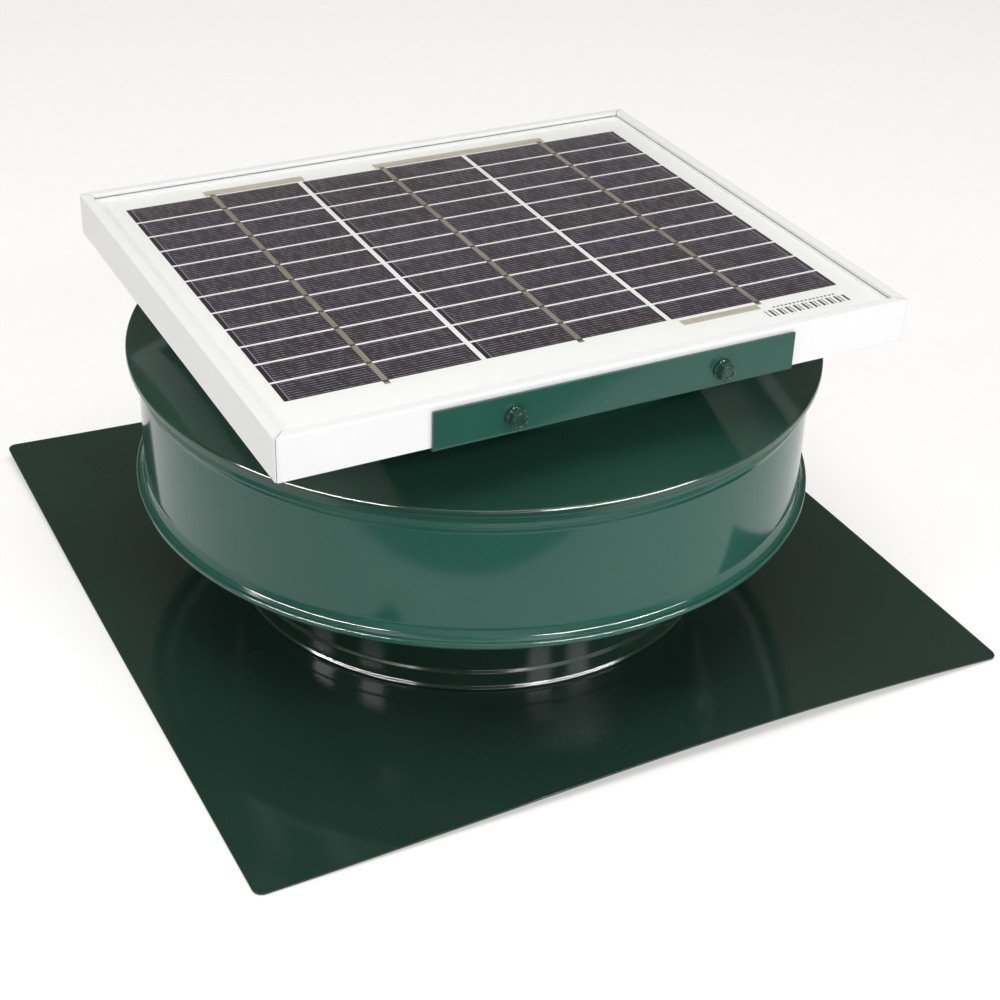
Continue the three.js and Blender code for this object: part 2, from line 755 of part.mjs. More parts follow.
function hubSetScrew() {
  const start = SHAFT_R + 2 * GAP;
  const screw = cut(bar(1.9, start, HUB_R - 0.4, 0, 0, 16), hexagon(2, HUB_R - 2.4, HUB_R));
  return piece("hub_set_screw", radial(screw, HUB_SCREW_Z), DARK_STEEL);
}

function rotorSet() {
  const group = new THREE.Group();
  group.add(motorShaft(), armature(), commutator(), fanWheel(), fanHub(), hubSetScrew());
  return group;
}

// ---- Solar panel: four mitred rails, glass, cells, junction box, in the panel's own frame ---

// Rail section as [inwards from the outer face, up from the underside].
const RAIL_SECTION = [
  [0, 0],
  [12, 0],
  [12, RAIL_WALL],
  [RAIL_WALL, RAIL_WALL],
  [RAIL_WALL, SHELF_TOP - 1],
  [7, SHELF_TOP - 1],
  [7, SHELF_TOP],
  [RAIL_WALL, SHELF_TOP],
  [RAIL_WALL, PANEL_HEIGHT - 1.2],
  [RAIL_LIP, PANEL_HEIGHT - 1.2],
  [RAIL_LIP, PANEL_HEIGHT],
  [0.8, PANEL_HEIGHT],
  [0, PANEL_HEIGHT - 0.8],
];

// A rail along X, its outer face at y = 0, with both ends mitred at 45 degrees.
function railGeometry(length) {
  const mitreGap = GAP * 0.75;
  const count = RAIL_SECTION.length;
  const positions = [];
  for (const side of [-1, 1]) {
    for (const [u, v] of RAIL_SECTION) positions.push(side * (length / 2 - u - mitreGap), u, v);
  }
  const faces = [];
  for (let i = 0; i < count; i += 1) {
    const next = (i + 1) % count;
    faces.push(i, next, count + next, i, count + next, count + i);
  }
  const contour = RAIL_SECTION.map(([u, v]) => new THREE.Vector2(u, v));
  for (const [a, b, c] of THREE.ShapeUtils.triangulateShape(contour, [])) {
    faces.push(a, c, b, count + a, count + b, count + c);
  }
  const geometry = new THREE.BufferGeometry();
  geometry.setAttribute("position", new THREE.BufferAttribute(new Float32Array(positions), 3));
  geometry.setIndex(faces);
  return geometry;
}

function panelScrewPlaces() {
  return [-1, 1].map((side) => BRACKET_X + (side * PANEL_SCREW_SPACING) / 2);
}

function rail(name, length, turn, distance, holed) {
  let geometry = railGeometry(length).translate(0, -distance, 0).rotateZ(turn);
  if (holed) {
    const side = Math.sign(-Math.cos(turn));
    const tools = panelScrewPlaces().map((x) => {
      const hole = bar(WASHER_SCREW.shankR + GAP, -6, 6).rotateX(Math.PI / 2);
      return hole.translate(x - PANEL_X, side * distance, PANEL_SCREW_Z - PANEL_Z);
    });
    geometry = cut(geometry, ...tools);
  }
  return piece(name, geometryOf(solid(geometry)), WHITE_FRAME);
}

function cellPlaces() {
  const places = [];
  for (let column = 0; column < CELL_COLUMNS; column += 1) {
    for (let row = 0; row < CELL_ROWS; row += 1) {
      const x = (column - (CELL_COLUMNS - 1) / 2) * (CELL_LENGTH + CELL_COLUMN_GAP);
      const y = CELLS_BACK + (row - (CELL_ROWS - 1) / 2) * (CELL_WIDTH + CELL_ROW_GAP);
      places.push([x, y]);
    }
  }
  return places;
}

const INSET = RAIL_WALL + 0.4; // from the frame's outer face to the edge of the glass

function cellLaminate() {
  const x = PANEL_LENGTH / 2 - INSET;
  const y = PANEL_WIDTH / 2 - INSET;
  const z = LAMINATE_Z - PANEL_Z;
  const sheet = block(-x, x, -y, y, z, z + LAMINATE_SHEET);
  const cells = cellPlaces().map(([cx, cy]) => {
    const top = z + LAMINATE_SHEET + CELL_RAISE;
    const halfX = CELL_LENGTH / 2;
    const halfY = CELL_WIDTH / 2;
    return block(cx - halfX, cx + halfX, cy - halfY, cy + halfY, top - 2 * CELL_RAISE, top);
  });
  return piece("cell_laminate", joined(sheet, ...cells), CELL_BLUE);
}

function panelGlass() {
  const x = PANEL_LENGTH / 2 - INSET;
  const y = PANEL_WIDTH / 2 - INSET;
  const z = GLASS_Z - PANEL_Z;
  return piece("panel_glass", block(-x, x, -y, y, z, z + GLASS_THICKNESS), GLASS);
}

function panelSet() {
  const group = new THREE.Group();
  const halfX = PANEL_LENGTH / 2;
  const halfY = PANEL_WIDTH / 2;
  group.add(
    rail("frame_rail_front", PANEL_LENGTH, 0, halfY, true),
    rail("frame_rail_back", PANEL_LENGTH, Math.PI, halfY, true),
    rail("frame_rail_right", PANEL_WIDTH, Math.PI / 2, halfX, false),
    rail("frame_rail_left", PANEL_WIDTH, -Math.PI / 2, halfX, false),
    cellLaminate(),
    panelGlass(),
  );
  group.position.set(PANEL_X, PANEL_Y, PANEL_Z);
  return group;
}

// ---- Wiring: junction box under the laminate, gland, cable and cap grommet -------------------

const BOX_WALL = 2;
const LID_Z = PANEL_Z + 0.5;
const LID_THICKNESS = 1.5;
const BOX_Z = LID_Z + LID_THICKNESS + GAP;
const BOX_TOP = LAMINATE_Z - GAP;
const GLAND = { r: 4.6, length: 8, z: 153 };
const GROMMET = { boreR: 4.0, neckR: 6.0, flangeR: 8.0, flange: 1.2 };
const CABLE_END = { y: 12.5, z: MOTOR_TOP - 2 };

function junctionBox() {
  const halfX = BOX_LENGTH / 2;
  const y0 = BOX_FRONT_Y;
  const y1 = BOX_FRONT_Y + BOX_WIDTH;
  const w = BOX_WALL;
  const shell = block(-halfX, halfX, y0, y1, BOX_Z, BOX_TOP);
  const room = block(-halfX + w, halfX - w, y0 + w, y1 - w, BOX_Z - 1, BOX_TOP - w);
  const hole = bar(CABLE_R + GAP, -4, 4).rotateX(Math.PI / 2).translate(0, y0, GLAND.z);
  return piece("junction_box", cut(shell, room, hole), BLACK_PLASTIC);
}

function junctionLid() {
  const halfX = BOX_LENGTH / 2;
  const lid = block(-halfX, halfX, BOX_FRONT_Y, BOX_FRONT_Y + BOX_WIDTH, LID_Z, LID_Z + LID_THICKNESS);
  return piece("junction_lid", lid, BLACK_PLASTIC);
}

function cableGland() {
  const bore = CABLE_R + GAP;
  const { r, length, z } = GLAND;
  const nut = 3;
  const ring = turned(
    [
      [bore, 0],
      [r, 0],
      [r, nut],
      [r - 0.8, nut + 0.6],
      [r - 0.8, length - 1],
      [r - 1.6, length],
      [bore, length],
    ],
    16,
  );
  const gland = ring.rotateX(Math.PI / 2).translate(0, BOX_FRONT_Y - GAP, z);
  return piece("cable_gland", gland, BLACK_PLASTIC);
}

// Two-core lead from inside the junction box, through the gland and the cap's grommet, to the motor.
function leadCable() {
  const bend = 8;
  const bendPoints = [90, 112.5, 135, 157.5, 180].map((degrees) => {
    const angle = THREE.MathUtils.degToRad(degrees);
    return [GROMMET_Y + bend + bend * Math.cos(angle), GLAND.z - bend + bend * Math.sin(angle)];
  });
  const route = [
    [BOX_FRONT_Y + 6, GLAND.z],
    [BOX_FRONT_Y - 8, GLAND.z],
    ...bendPoints,
    [GROMMET_Y, CAP_TOP - 18],
    [CABLE_END.y - 1.6, MOTOR_TOP + 20],
    [CABLE_END.y, MOTOR_TOP + 9],
    [CABLE_END.y, CABLE_END.z],
  ];
  const points = route.map(([y, z]) => new THREE.Vector3(0, y, z));
  const curve = new THREE.CatmullRomCurve3(points, false, "centripetal");
  const section = new THREE.Shape();
  section.absarc(0, 0, CABLE_R, 0, 2 * Math.PI);
  const sweep = { extrudePath: curve, steps: 28, curveSegments: 4, bevelEnabled: false };
  const tube = new THREE.ExtrudeGeometry(section, sweep);
  return piece("lead_cable", tube, BLACK_RUBBER);
}

function capGrommet() {
  const { boreR, neckR, flangeR, flange } = GROMMET;
  const top = BRACKET_Z + BRACKET_SHEET + GAP;
  const under = CAP_TOP - SHEET - GAP;
  const ring = turned(
    [
      [boreR, under - flange],
      [flangeR - 0.5, under - flange],
      [flangeR, under],
      [neckR, under],
      [neckR, top],
      [flangeR, top],
      [flangeR - 0.5, top + flange],
      [boreR, top + flange],
    ],
    20,
  );
  return piece("cap_grommet", ring.translate(0, GROMMET_Y, 0), BLACK_RUBBER);
}

function wiringSet() {
  const group = new THREE.Group();
  group.add(junctionBox(), junctionLid(), cableGland(), leadCable(), capGrommet());
  return group;
}

// ---- Bracket: one folded sheet whose web lies on the crown and whose ears hold the frame -----

function panelBracket() {
  const front = PANEL_Y - PANEL_WIDTH / 2 - GAP - BRACKET_SHEET / 2;
  const back = PANEL_Y + PANEL_WIDTH / 2 + GAP + BRACKET_SHEET / 2;
  const z = BRACKET_Z + BRACKET_SHEET / 2;
  const top = BRACKET_Z + EAR_HEIGHT;
  const bend = 0.8;
  const path = [
    [front, top],
    [front, z + bend],
    [front + bend * 0.3, z + bend * 0.3],
    [front + bend, z],
    [back - bend, z],
    [back - bend * 0.3, z + bend * 0.3],
    [back, z + bend],
    [back, top],
  ];
  const sheet = bentStrip(path, BRACKET_SHEET, BRACKET_LENGTH, ALONG_X).translate(BRACKET_X, 0, 0);
  const screws = panelScrewPlaces().map((x) => {
    const hole = bar(WASHER_SCREW.shankR + GAP, front - 5, back + 5).rotateX(-Math.PI / 2);
    return hole.translate(x, 0, PANEL_SCREW_Z);
  });
  return piece("panel_bracket", cut(sheet, ...crownHoles(z), ...screws), GREEN_PAINT);
}

function panelScrew(index, x, side) {
  const mesh = piece(`panel_screw_${index}`, hexScrew(WASHER_SCREW, 7.5), GREEN_PAINT);
  const face = PANEL_WIDTH / 2 + 2 * GAP + BRACKET_SHEET;
  mesh.position.set(x, PANEL_Y + side * face, PANEL_SCREW_Z);
  mesh.rotation.x = (-side * Math.PI) / 2;
  return mesh;
}

function bracketSet() {
  const group = new THREE.Group();
  group.add(panelBracket());
  const places = [-1, 1].flatMap((side) => panelScrewPlaces().map((x) => [x, side]));
  places.forEach(([x, side], i) => group.add(panelScrew(i + 1, x, side)));
  return group;
}

const solarAtticFan = new THREE.Group();
solarAtticFan.add(baseFlange(), throatCollar(), windBand(), capDome(), exhaustScreen());
solarAtticFan.add(legSet(), motorSet(), rotorSet(), panelSet(), wiringSet(), bracketSet());

export default solarAtticFan;
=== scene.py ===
"""Solar attic fan: a round roof vent on a square flashing flange, with a fan and a motor in its throat
and a small solar panel on a folded bracket over its cap.

Metres, +Z up, front towards -Y. The vent's axis is the Z axis and the flange lies on z = 0.
"""

import math

import bmesh
import bpy
from mathutils import Matrix, Vector


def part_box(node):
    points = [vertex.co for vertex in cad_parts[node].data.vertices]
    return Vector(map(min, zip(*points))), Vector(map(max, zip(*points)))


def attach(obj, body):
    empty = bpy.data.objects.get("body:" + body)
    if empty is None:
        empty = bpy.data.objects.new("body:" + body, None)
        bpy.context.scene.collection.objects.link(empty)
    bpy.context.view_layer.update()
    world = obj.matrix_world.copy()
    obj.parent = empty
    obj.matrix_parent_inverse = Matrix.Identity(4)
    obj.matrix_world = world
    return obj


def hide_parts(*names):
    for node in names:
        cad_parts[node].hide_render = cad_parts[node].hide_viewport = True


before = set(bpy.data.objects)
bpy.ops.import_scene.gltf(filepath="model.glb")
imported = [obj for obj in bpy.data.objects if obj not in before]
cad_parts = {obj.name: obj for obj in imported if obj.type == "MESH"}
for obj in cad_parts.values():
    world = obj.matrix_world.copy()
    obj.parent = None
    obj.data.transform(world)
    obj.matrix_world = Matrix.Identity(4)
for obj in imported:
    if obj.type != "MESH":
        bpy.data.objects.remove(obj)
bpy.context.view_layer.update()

MM = 0.001
GAP = 0.3 * MM  # between pieces that touch
SHEET = 1.0 * MM  # sheet of the vent body
ROUND = 192  # sides of the large turned pieces
SMALL_ROUND = 48  # sides of screws and other small turned pieces


# ---- Sizes from the frame ----


def low(node):
    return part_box(node)[0]


def high(node):
    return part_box(node)[1]


def middle(node):
    return (low(node) + high(node)) / 2


FLANGE_HALF = high("base_flange").x
LIP_TOP = high("base_flange").z  # of the lip round the throat hole
THROAT_R = high("throat_collar").x - 1.7 * MM  # the foot seam stands 1.7 mm proud of the wall
THROAT_FOOT = low("throat_collar").z
THROAT_TOP = high("throat_collar").z
BAND_LIP_R = high("wind_band").x
BAND_R = BAND_LIP_R - 3.9 * MM  # outside of the band's wall
BAND_BOTTOM = low("wind_band").z
BAND_TOP = high("wind_band").z
CAP_R = high("cap_dome").x
CAP_RIM_BOTTOM = low("cap_dome").z
CAP_RIM_TOP = CAP_RIM_BOTTOM + 3.2 * MM
CAP_TOP = high("cap_dome").z
CROWN_FLAT_R = 70 * MM
CROWN_R = 109 * MM

PANEL_LOW = Vector((low("frame_rail_left").x, low("frame_rail_front").y, low("frame_rail_front").z))
PANEL_HIGH = Vector((high("frame_rail_right").x, high("frame_rail_back").y, high("frame_rail_front").z))
PANEL_MIDDLE = (PANEL_LOW + PANEL_HIGH) / 2
PANEL_SIZE = PANEL_HIGH - PANEL_LOW


# ---- Camera and light ----

AZIMUTH = math.radians(-28.622)
ELEVATION = math.radians(31.227)
ROLL = math.radians(2.237)


def direction(azimuth, elevation):
    """Unit vector from the object towards a place at that azimuth, from the front, and elevation."""
    flat = math.cos(elevation)
    return Vector((math.sin(azimuth) * flat, -math.cos(azimuth) * flat, math.sin(elevation)))


def looking(back, roll=0.0):
    """Rotation of a camera or lamp whose back points along back."""
    right = (-back).cross(Vector((0, 0, 1))).normalized()
    up = right.cross(-back)
    turned_right = right * math.cos(roll) + up * math.sin(roll)
    turned_up = up * math.cos(roll) - right * math.sin(roll)
    return Matrix((turned_right, turned_up, back)).transposed().to_4x4()


def add_camera():
    data = bpy.data.cameras.new("camera")
    data.sensor_width = 36
    data.lens = 69.063
    data.shift_x = -0.0178
    data.shift_y = -0.0287
    data.clip_start = 0.01
    camera = bpy.data.objects.new("camera", data)
    place = Matrix.Translation((-0.3390, -0.6639, 0.4958))
    camera.matrix_world = place @ looking(direction(AZIMUTH, ELEVATION), ROLL)
    bpy.context.scene.collection.objects.link(camera)
    bpy.context.scene.camera = camera


def add_softbox(name, azimuth, elevation, distance, width, height, power):
    """Rectangular lamp aimed at the middle of the vent; its azimuth is from the camera's."""
    data = bpy.data.lights.new(name, "AREA")
    data.shape = "RECTANGLE"
    data.size = width
    data.size_y = height
    data.energy = power
    lamp = bpy.data.objects.new(name, data)
    back = direction(AZIMUTH + math.radians(azimuth), math.radians(elevation))
    aim = Vector((0, 0, 0.08))
    lamp.matrix_world = Matrix.Translation(aim + back * distance) @ looking(back)
    bpy.context.scene.collection.objects.link(lamp)
    return lamp


def add_lights():
    for name, azimuth in (("left_far", -71), ("left_near", -44), ("right_near", 35), ("right_far", 55)):
        add_softbox("softbox_" + name, azimuth, 34, 1.3, 0.20, 0.12, 1.6)
    add_softbox("overhead", 0, 83, 2.4, 2.4, 2.4, 60)
    add_softbox("low_front", 34, 5, 2.0, 2.4, 0.4, 15)
    world = bpy.data.worlds.new("studio")
    world.use_nodes = True
    background = world.node_tree.nodes["Background"]
    background.inputs["Color"].default_value = (1.0, 0.86, 0.70, 1)
    background.inputs["Strength"].default_value = 0.17
    bpy.context.scene.world = world
    bpy.context.scene.view_settings.view_transform = "Standard"


def add_rim_lights(piece_names):
    """Two long narrow lamps that only put a glint on the rims of those pieces."""
    lit = bpy.data.collections.new("rims")
    for name in piece_names:
        lit.objects.link(bpy.data.objects[name])
    for name, azimuth in (("strip_left", -46), ("strip_right", 46)):
        lamp = add_softbox(name, azimuth, 22, 1.3, 1.1, 0.05, 80)
        lamp.visible_diffuse = False
        lamp.light_linking.receiver_collection = lit


def add_flag():
    """Dark card on the floor in front, out of the camera's view, seen only in the gloss of the vent."""
    near = 0.268
    far = 0.9
    mesh = prism(rectangle(-far, far, near, far, 0.01, 2), 0.001, Matrix.Translation((0, 0, 0.002)))
    mesh.transform(around(AZIMUTH + math.pi))
    flag = loose_object("flag", mesh)
    flag.data.materials.append(moulded("flag", (0.01, 0.01, 0.01), (0.02, 0.02, 0.02), 0.9))
    flag.visible_camera = False
    flag.visible_diffuse = False
    flag.visible_shadow = False
    flag.visible_transmission = False


# ---- Material helpers ----


def plug(shader, **inputs):
    """Sets or links inputs of a shader node by socket name, or by _number."""
    for key, value in inputs.items():
        socket = shader.inputs[int(key[1:]) if key[1:].isdigit() else key.replace("_", " ")]
        if isinstance(value, bpy.types.NodeSocket):
            shader.id_data.links.new(value, socket)
        else:
            socket.default_value = (*value, 1.0) if socket.type == "RGBA" else value


def node(tree, kind, settings=None, **inputs):
    """Adds a shader node, with its settings and its input values or links."""
    made = tree.nodes.new(kind)
    for key, value in (settings or {}).items():
        setattr(made, key, value)
    plug(made, **inputs)
    return made


def math_node(tree, operation, a, b=0.0, c=0.0, clamp=False):
    made = node(tree, "ShaderNodeMath", {"operation": operation, "use_clamp": clamp}, _0=a, _1=b, _2=c)
    return made.outputs[0]


def blend_colour(tree, factor, first, second):
    made = node(tree, "ShaderNodeMix", {"data_type": "RGBA"}, _0=factor, _6=first, _7=second)
    return made.outputs[2]


def new_material(name):
    material = bpy.data.materials.new(name)
    material.use_nodes = True
    return material, material.node_tree, material.node_tree.nodes["Principled BSDF"]


def object_place(tree, stretch=(1, 1, 1)):
    """The place in the object, in metres, scaled along each axis."""
    coordinates = node(tree, "ShaderNodeTexCoord").outputs["Object"]
    return node(tree, "ShaderNodeMapping", Vector=coordinates, Scale=stretch).outputs[0]


def noise(tree, scale, detail=3.0, roughness=0.5, stretch=(1, 1, 1)):
    place = object_place(tree, stretch)
    kind = "ShaderNodeTexNoise"
    return node(tree, kind, Vector=place, Scale=scale, Detail=detail, Roughness=roughness).outputs[0]


def ranged(tree, value, from_low, from_high, to_low, to_high):
    kind = "ShaderNodeMapRange"
    return node(tree, kind, _0=value, _1=from_low, _2=from_high, _3=to_low, _4=to_high).outputs[0]


def mottled(tree, value, first, second, low_value=0.3, high_value=0.7):
    """Colour between two shades that follows a noise value."""
    return blend_colour(tree, ranged(tree, value, low_value, high_value, 0, 1), first, second)


def bump(tree, height, distance, strength=1.0):
    return node(tree, "ShaderNodeBump", Height=height, Distance=distance, Strength=strength).outputs[0]


# ---- Materials ----


def gloss_paint(name, colour, shade, ior=1.5):
    """Baked enamel on sheet metal: slight orange peel, cloudy gloss and a little fine dust."""
    material, tree, surface = new_material(name)
    paint = mottled(tree, noise(tree, 14, 4), colour, shade)
    dust = ranged(tree, noise(tree, 900, 2, 0.6), 0.70, 0.78, 0, 0.22)
    dusty = blend_colour(tree, dust, paint, (0.30, 0.34, 0.32))
    wipes = noise(tree, 30, 5, 0.6, (1, 1, 0.25))
    wear = ranged(tree, wipes, 0.25, 0.75, 0.085, 0.125)
    peel = bump(tree, noise(tree, 420, 2), 0.02 * MM, 0.55)
    plug(surface, Base_Color=dusty, Roughness=wear, Normal=peel, IOR=ior)
    return material


def powder_coat(name, colour, shade):
    """Satin powder coat over an extrusion, whose die lines run along it."""
    material, tree, surface = new_material(name)
    coat = blend_colour(tree, noise(tree, 22, 4), colour, shade)
    wear = ranged(tree, noise(tree, 60, 4), 0.3, 0.7, 0.30, 0.42)
    die_lines = noise(tree, 700, 2, 0.5, (0.02, 0.02, 1))
    height = math_node(tree, "MULTIPLY_ADD", die_lines, 0.8, noise(tree, 1500, 2))
    plug(surface, Base_Color=coat, Roughness=wear, Normal=bump(tree, height, 0.02 * MM, 0.5))
    return material


def bare_metal(name, colour, shade, roughness=0.32, stretch=(1, 1, 0.03), spangle=0.0):
    """Unpainted metal: drawn or rolled streaks, handling marks, and zinc spangle where asked for."""
    material, tree, surface = new_material(name)
    streaks = noise(tree, 260, 4, 0.6, stretch)
    marks = noise(tree, 45, 5, 0.65)
    tone = math_node(tree, "MULTIPLY_ADD", streaks, 0.5, math_node(tree, "MULTIPLY", marks, 0.5))
    if spangle:
        flakes = node(tree, "ShaderNodeTexVoronoi", Vector=object_place(tree), Scale=300.0).outputs["Color"]
        value = node(tree, "ShaderNodeRGBToBW", Color=flakes).outputs[0]
        tone = math_node(tree, "MULTIPLY_ADD", value, spangle, tone)
    metal = mottled(tree, tone, colour, shade, 0.3, 0.75)
    wear = ranged(tree, marks, 0.3, 0.7, roughness * 0.8, roughness * 1.3)
    marked = bump(tree, streaks, 0.02 * MM, 0.5)
    plug(surface, Metallic=1.0, Base_Color=metal, Roughness=wear, Normal=marked)
    return material


def moulded(name, colour, shade, roughness=0.45, grain=1800, depth=0.03):
    """Moulded plastic, rubber or pressed powder with a fine grain."""
    material, tree, surface = new_material(name)
    clouds = noise(tree, 90, 4, 0.6)
    wear = ranged(tree, clouds, 0.3, 0.7, roughness * 0.85, roughness * 1.2)
    texture = bump(tree, noise(tree, grain, 3), depth * MM, 0.6)
    plug(surface, Base_Color=blend_colour(tree, clouds, colour, shade), Roughness=wear, Normal=texture)
    return material


def clear_glass(name):
    """Glass that lets the cells behind it take the light: see-through, with Fresnel gloss on top."""
    material, tree, _ = new_material(name)
    tree.nodes.remove(tree.nodes["Principled BSDF"])
    facing = node(tree, "ShaderNodeLayerWeight", Blend=0.5).outputs["Facing"]
    grazing = math_node(tree, "POWER", facing, 5.0)
    fresnel = math_node(tree, "MULTIPLY_ADD", grazing, 0.9, 0.035)
    smears = ranged(tree, noise(tree, 16, 5, 0.65), 0.35, 0.75, 0.02, 0.05)
    wave = bump(tree, noise(tree, 250, 2), 0.01 * MM, 0.3)
    gloss = node(tree, "ShaderNodeBsdfGlossy", Color=(1, 1, 1), Roughness=smears, Normal=wave)
    through = node(tree, "ShaderNodeBsdfTransparent", Color=(0.985, 0.992, 0.99))
    mixed = node(tree, "ShaderNodeMixShader", _0=fresnel, _1=through.outputs[0], _2=gloss.outputs[0])
    tree.links.new(mixed.outputs[0], tree.nodes["Material Output"].inputs["Surface"])
    return material


# ---- Outline helpers ----


def corner_arc(before, here, after, radius, steps):
    """Points of the arc that rounds the corner at here between two neighbours."""
    to_before = before - here
    to_after = after - here
    half = to_before.angle(to_after) / 2
    if radius <= 0 or half > math.radians(89):
        return [here]
    reach = min(radius / math.tan(half), 0.49 * to_before.length, 0.49 * to_after.length)
    centre = here + (to_before.normalized() + to_after.normalized()).normalized() * reach / math.cos(half)
    first = here + to_before.normalized() * reach - centre
    last = here + to_after.normalized() * reach - centre
    sweep = math.pi - 2 * half
    points = []
    for step in range(steps + 1):
        share = step / steps
        weights = (math.sin((1 - share) * sweep), math.sin(share * sweep))
        points.append(centre + (first * weights[0] + last * weights[1]) / math.sin(sweep))
    return points


def rounded(corners, steps=4):
    """Closed outline through (u, v, radius) corners, each rounded to its radius."""
    places = [Vector(corner[:2]) for corner in corners]
    points = []
    for i, corner in enumerate(corners):
        after = places[(i + 1) % len(places)]
        points += corner_arc(places[i - 1], places[i], after, corner[2], steps)
    return points


def rectangle(x0, x1, y0, y1, radius, steps):
    corners = ((x0, y0), (x1, y0), (x1, y1), (x0, y1))
    return rounded([(*corner, radius) for corner in corners], steps)


def section(corners, lift=0.0, steps=5):
    """Closed outline from (radius or u, height, corner radius) in millimetres, raised by lift metres."""
    points = rounded([(u * MM, v * MM, ease * MM) for u, v, ease in corners], steps)
    return [(point.x, point.y + lift) for point in points]


def rounded_path(corners, radius, steps=5):
    """Open path through (u, v) corners, rounded at each inner one."""
    places = [Vector(corner) for corner in corners]
    points = [places[0]]
    for i in range(1, len(places) - 1):
        points += corner_arc(places[i - 1], places[i], places[i + 1], radius, steps)
    return points + [places[-1]]


def strip_outline(path, thickness):
    """Outline of sheet metal of even thickness whose middle follows the path."""
    left = []
    right = []
    for i, point in enumerate(path):
        along = (path[min(i + 1, len(path) - 1)] - path[max(i - 1, 0)]).normalized()
        normal = Vector((-along.y, along.x)) * thickness / 2
        left.append(point + normal)
        right.append(point - normal)
    return right + left[::-1]


# ---- Mesh helpers ----

ALONG_X = Matrix(((0, 0, 1, 0), (1, 0, 0, 0), (0, 1, 0, 0), (0, 0, 0, 1)))
ALONG_Y = Matrix(((1, 0, 0, 0), (0, 0, -1, 0), (0, 1, 0, 0), (0, 0, 0, 1)))
UPRIGHT = Matrix.Identity(4)


def even_angles(count, start=0.0):
    return [start + i * math.tau / count for i in range(count)]


def mesh_from(points, faces):
    mesh = bpy.data.meshes.new("mesh")
    mesh.from_pydata([tuple(point) for point in points], [], faces)
    mesh.validate()
    return mesh


def turned(profile, angles=ROUND):
    """Mesh of a closed anticlockwise outline of (radius, height) turned about Z.

    The profile is a list, or a function from the angle to a list, for shapes that aren't round.
    """
    if isinstance(angles, int):
        angles = even_angles(angles)
    rows = [profile(angle) if callable(profile) else profile for angle in angles]
    count = len(rows[0])
    on_axis = [rows[0][i][0] < 1e-9 for i in range(count)]
    points = []
    index = {}
    for i in range(count):
        for j, angle in enumerate(angles):
            radius, height = rows[j][i]
            if on_axis[i] and j > 0:
                index[i, j] = index[i, 0]
                continue
            index[i, j] = len(points)
            points.append((radius * math.cos(angle), radius * math.sin(angle), height))
    faces = []
    for i in range(count):
        following = (i + 1) % count
        if on_axis[i] and on_axis[following]:
            continue
        for j in range(len(angles)):
            beside = (j + 1) % len(angles)
            face = [index[i, j], index[i, beside], index[following, beside], index[following, j]]
            faces.append(list(dict.fromkeys(face)))
    return mesh_from(points, faces)


def prism(outline, depth, place=UPRIGHT):
    """Mesh of an anticlockwise outline drawn out by depth, half to each side of its plane."""
    count = len(outline)
    points = [(u, v, side * depth / 2) for side in (-1, 1) for u, v in outline]
    faces = [list(range(count))[::-1], list(range(count, 2 * count))]
    for i in range(count):
        following = (i + 1) % count
        faces.append([i, following, count + following, count + i])
    mesh = mesh_from(points, faces)
    mesh.transform(place)
    return mesh


def joined(meshes):
    made = bmesh.new()
    for mesh in meshes:
        made.from_mesh(mesh)
        bpy.data.meshes.remove(mesh)
    result = bpy.data.meshes.new("mesh")
    made.to_mesh(result)
    made.free()
    return result


def loose_object(name, mesh):
    made = bpy.data.objects.new(name, mesh)
    bpy.context.scene.collection.objects.link(made)
    return made


def modified(mesh, kind, **settings):
    """The mesh with one modifier applied."""
    made = loose_object("body", mesh)
    modifier = made.modifiers.new(kind, kind)
    for key, value in settings.items():
        setattr(modifier, key, value)
    bpy.context.view_layer.update()
    evaluated = made.evaluated_get(bpy.context.evaluated_depsgraph_get())
    result = bpy.data.meshes.new_from_object(evaluated)
    bpy.data.objects.remove(made)
    return result


def combined(mesh, tool, operation="DIFFERENCE"):
    """The mesh with the tool's mesh taken away, added or met."""
    helper = loose_object("tool", tool)
    solver = "MANIFOLD" if operation == "UNION" else "EXACT"
    result = modified(mesh, "BOOLEAN", operation=operation, solver=solver, object=helper)
    bpy.data.objects.remove(helper)
    return result


def towards(place, along):
    """Place for something built along Z that is to point along a direction."""
    turn = Vector((0, 0, 1)).rotation_difference(Vector(along)).to_matrix().to_4x4()
    return Matrix.Translation(place) @ turn


def drilled(mesh, holes):
    """The mesh with round holes, each (place, direction, radius, length) about its middle."""
    tools = []
    for place, along, radius, length in holes:
        half = length / 2
        pin = turned([(0, -half), (radius, -half), (radius, half), (0, half)], 32)
        pin.transform(towards(place, along))
        tools.append(pin)
    return combined(mesh, joined(tools))


def bevelled(mesh, width, segments=2, angle=30):
    limits = {"limit_method": "ANGLE", "angle_limit": math.radians(angle), "use_clamp_overlap": True}
    return modified(mesh, "BEVEL", width=width, segments=segments, **limits)


def folded(corners, thickness, width, place, bend, edge=0.15 * MM):
    """Sheet metal folded along a path of (u, v) corners, with its cut edges eased."""
    outline = strip_outline(rounded_path(corners, bend), thickness)
    return bevelled(prism(outline, width, place), edge, 2, 50)


def refined(node_name, bevel=0.25 * MM):
    """Copy of a CAD node's mesh with its coplanar faces merged and its edges eased."""
    made = bmesh.new()
    made.from_mesh(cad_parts[node_name].data)
    bmesh.ops.remove_doubles(made, verts=made.verts, dist=1e-6)
    flat = math.radians(2)
    bmesh.ops.dissolve_limit(made, angle_limit=flat, verts=made.verts, edges=made.edges)
    mesh = bpy.data.meshes.new(node_name)
    made.to_mesh(mesh)
    made.free()
    mesh.materials.clear()
    return bevelled(mesh, bevel, 2, 32)


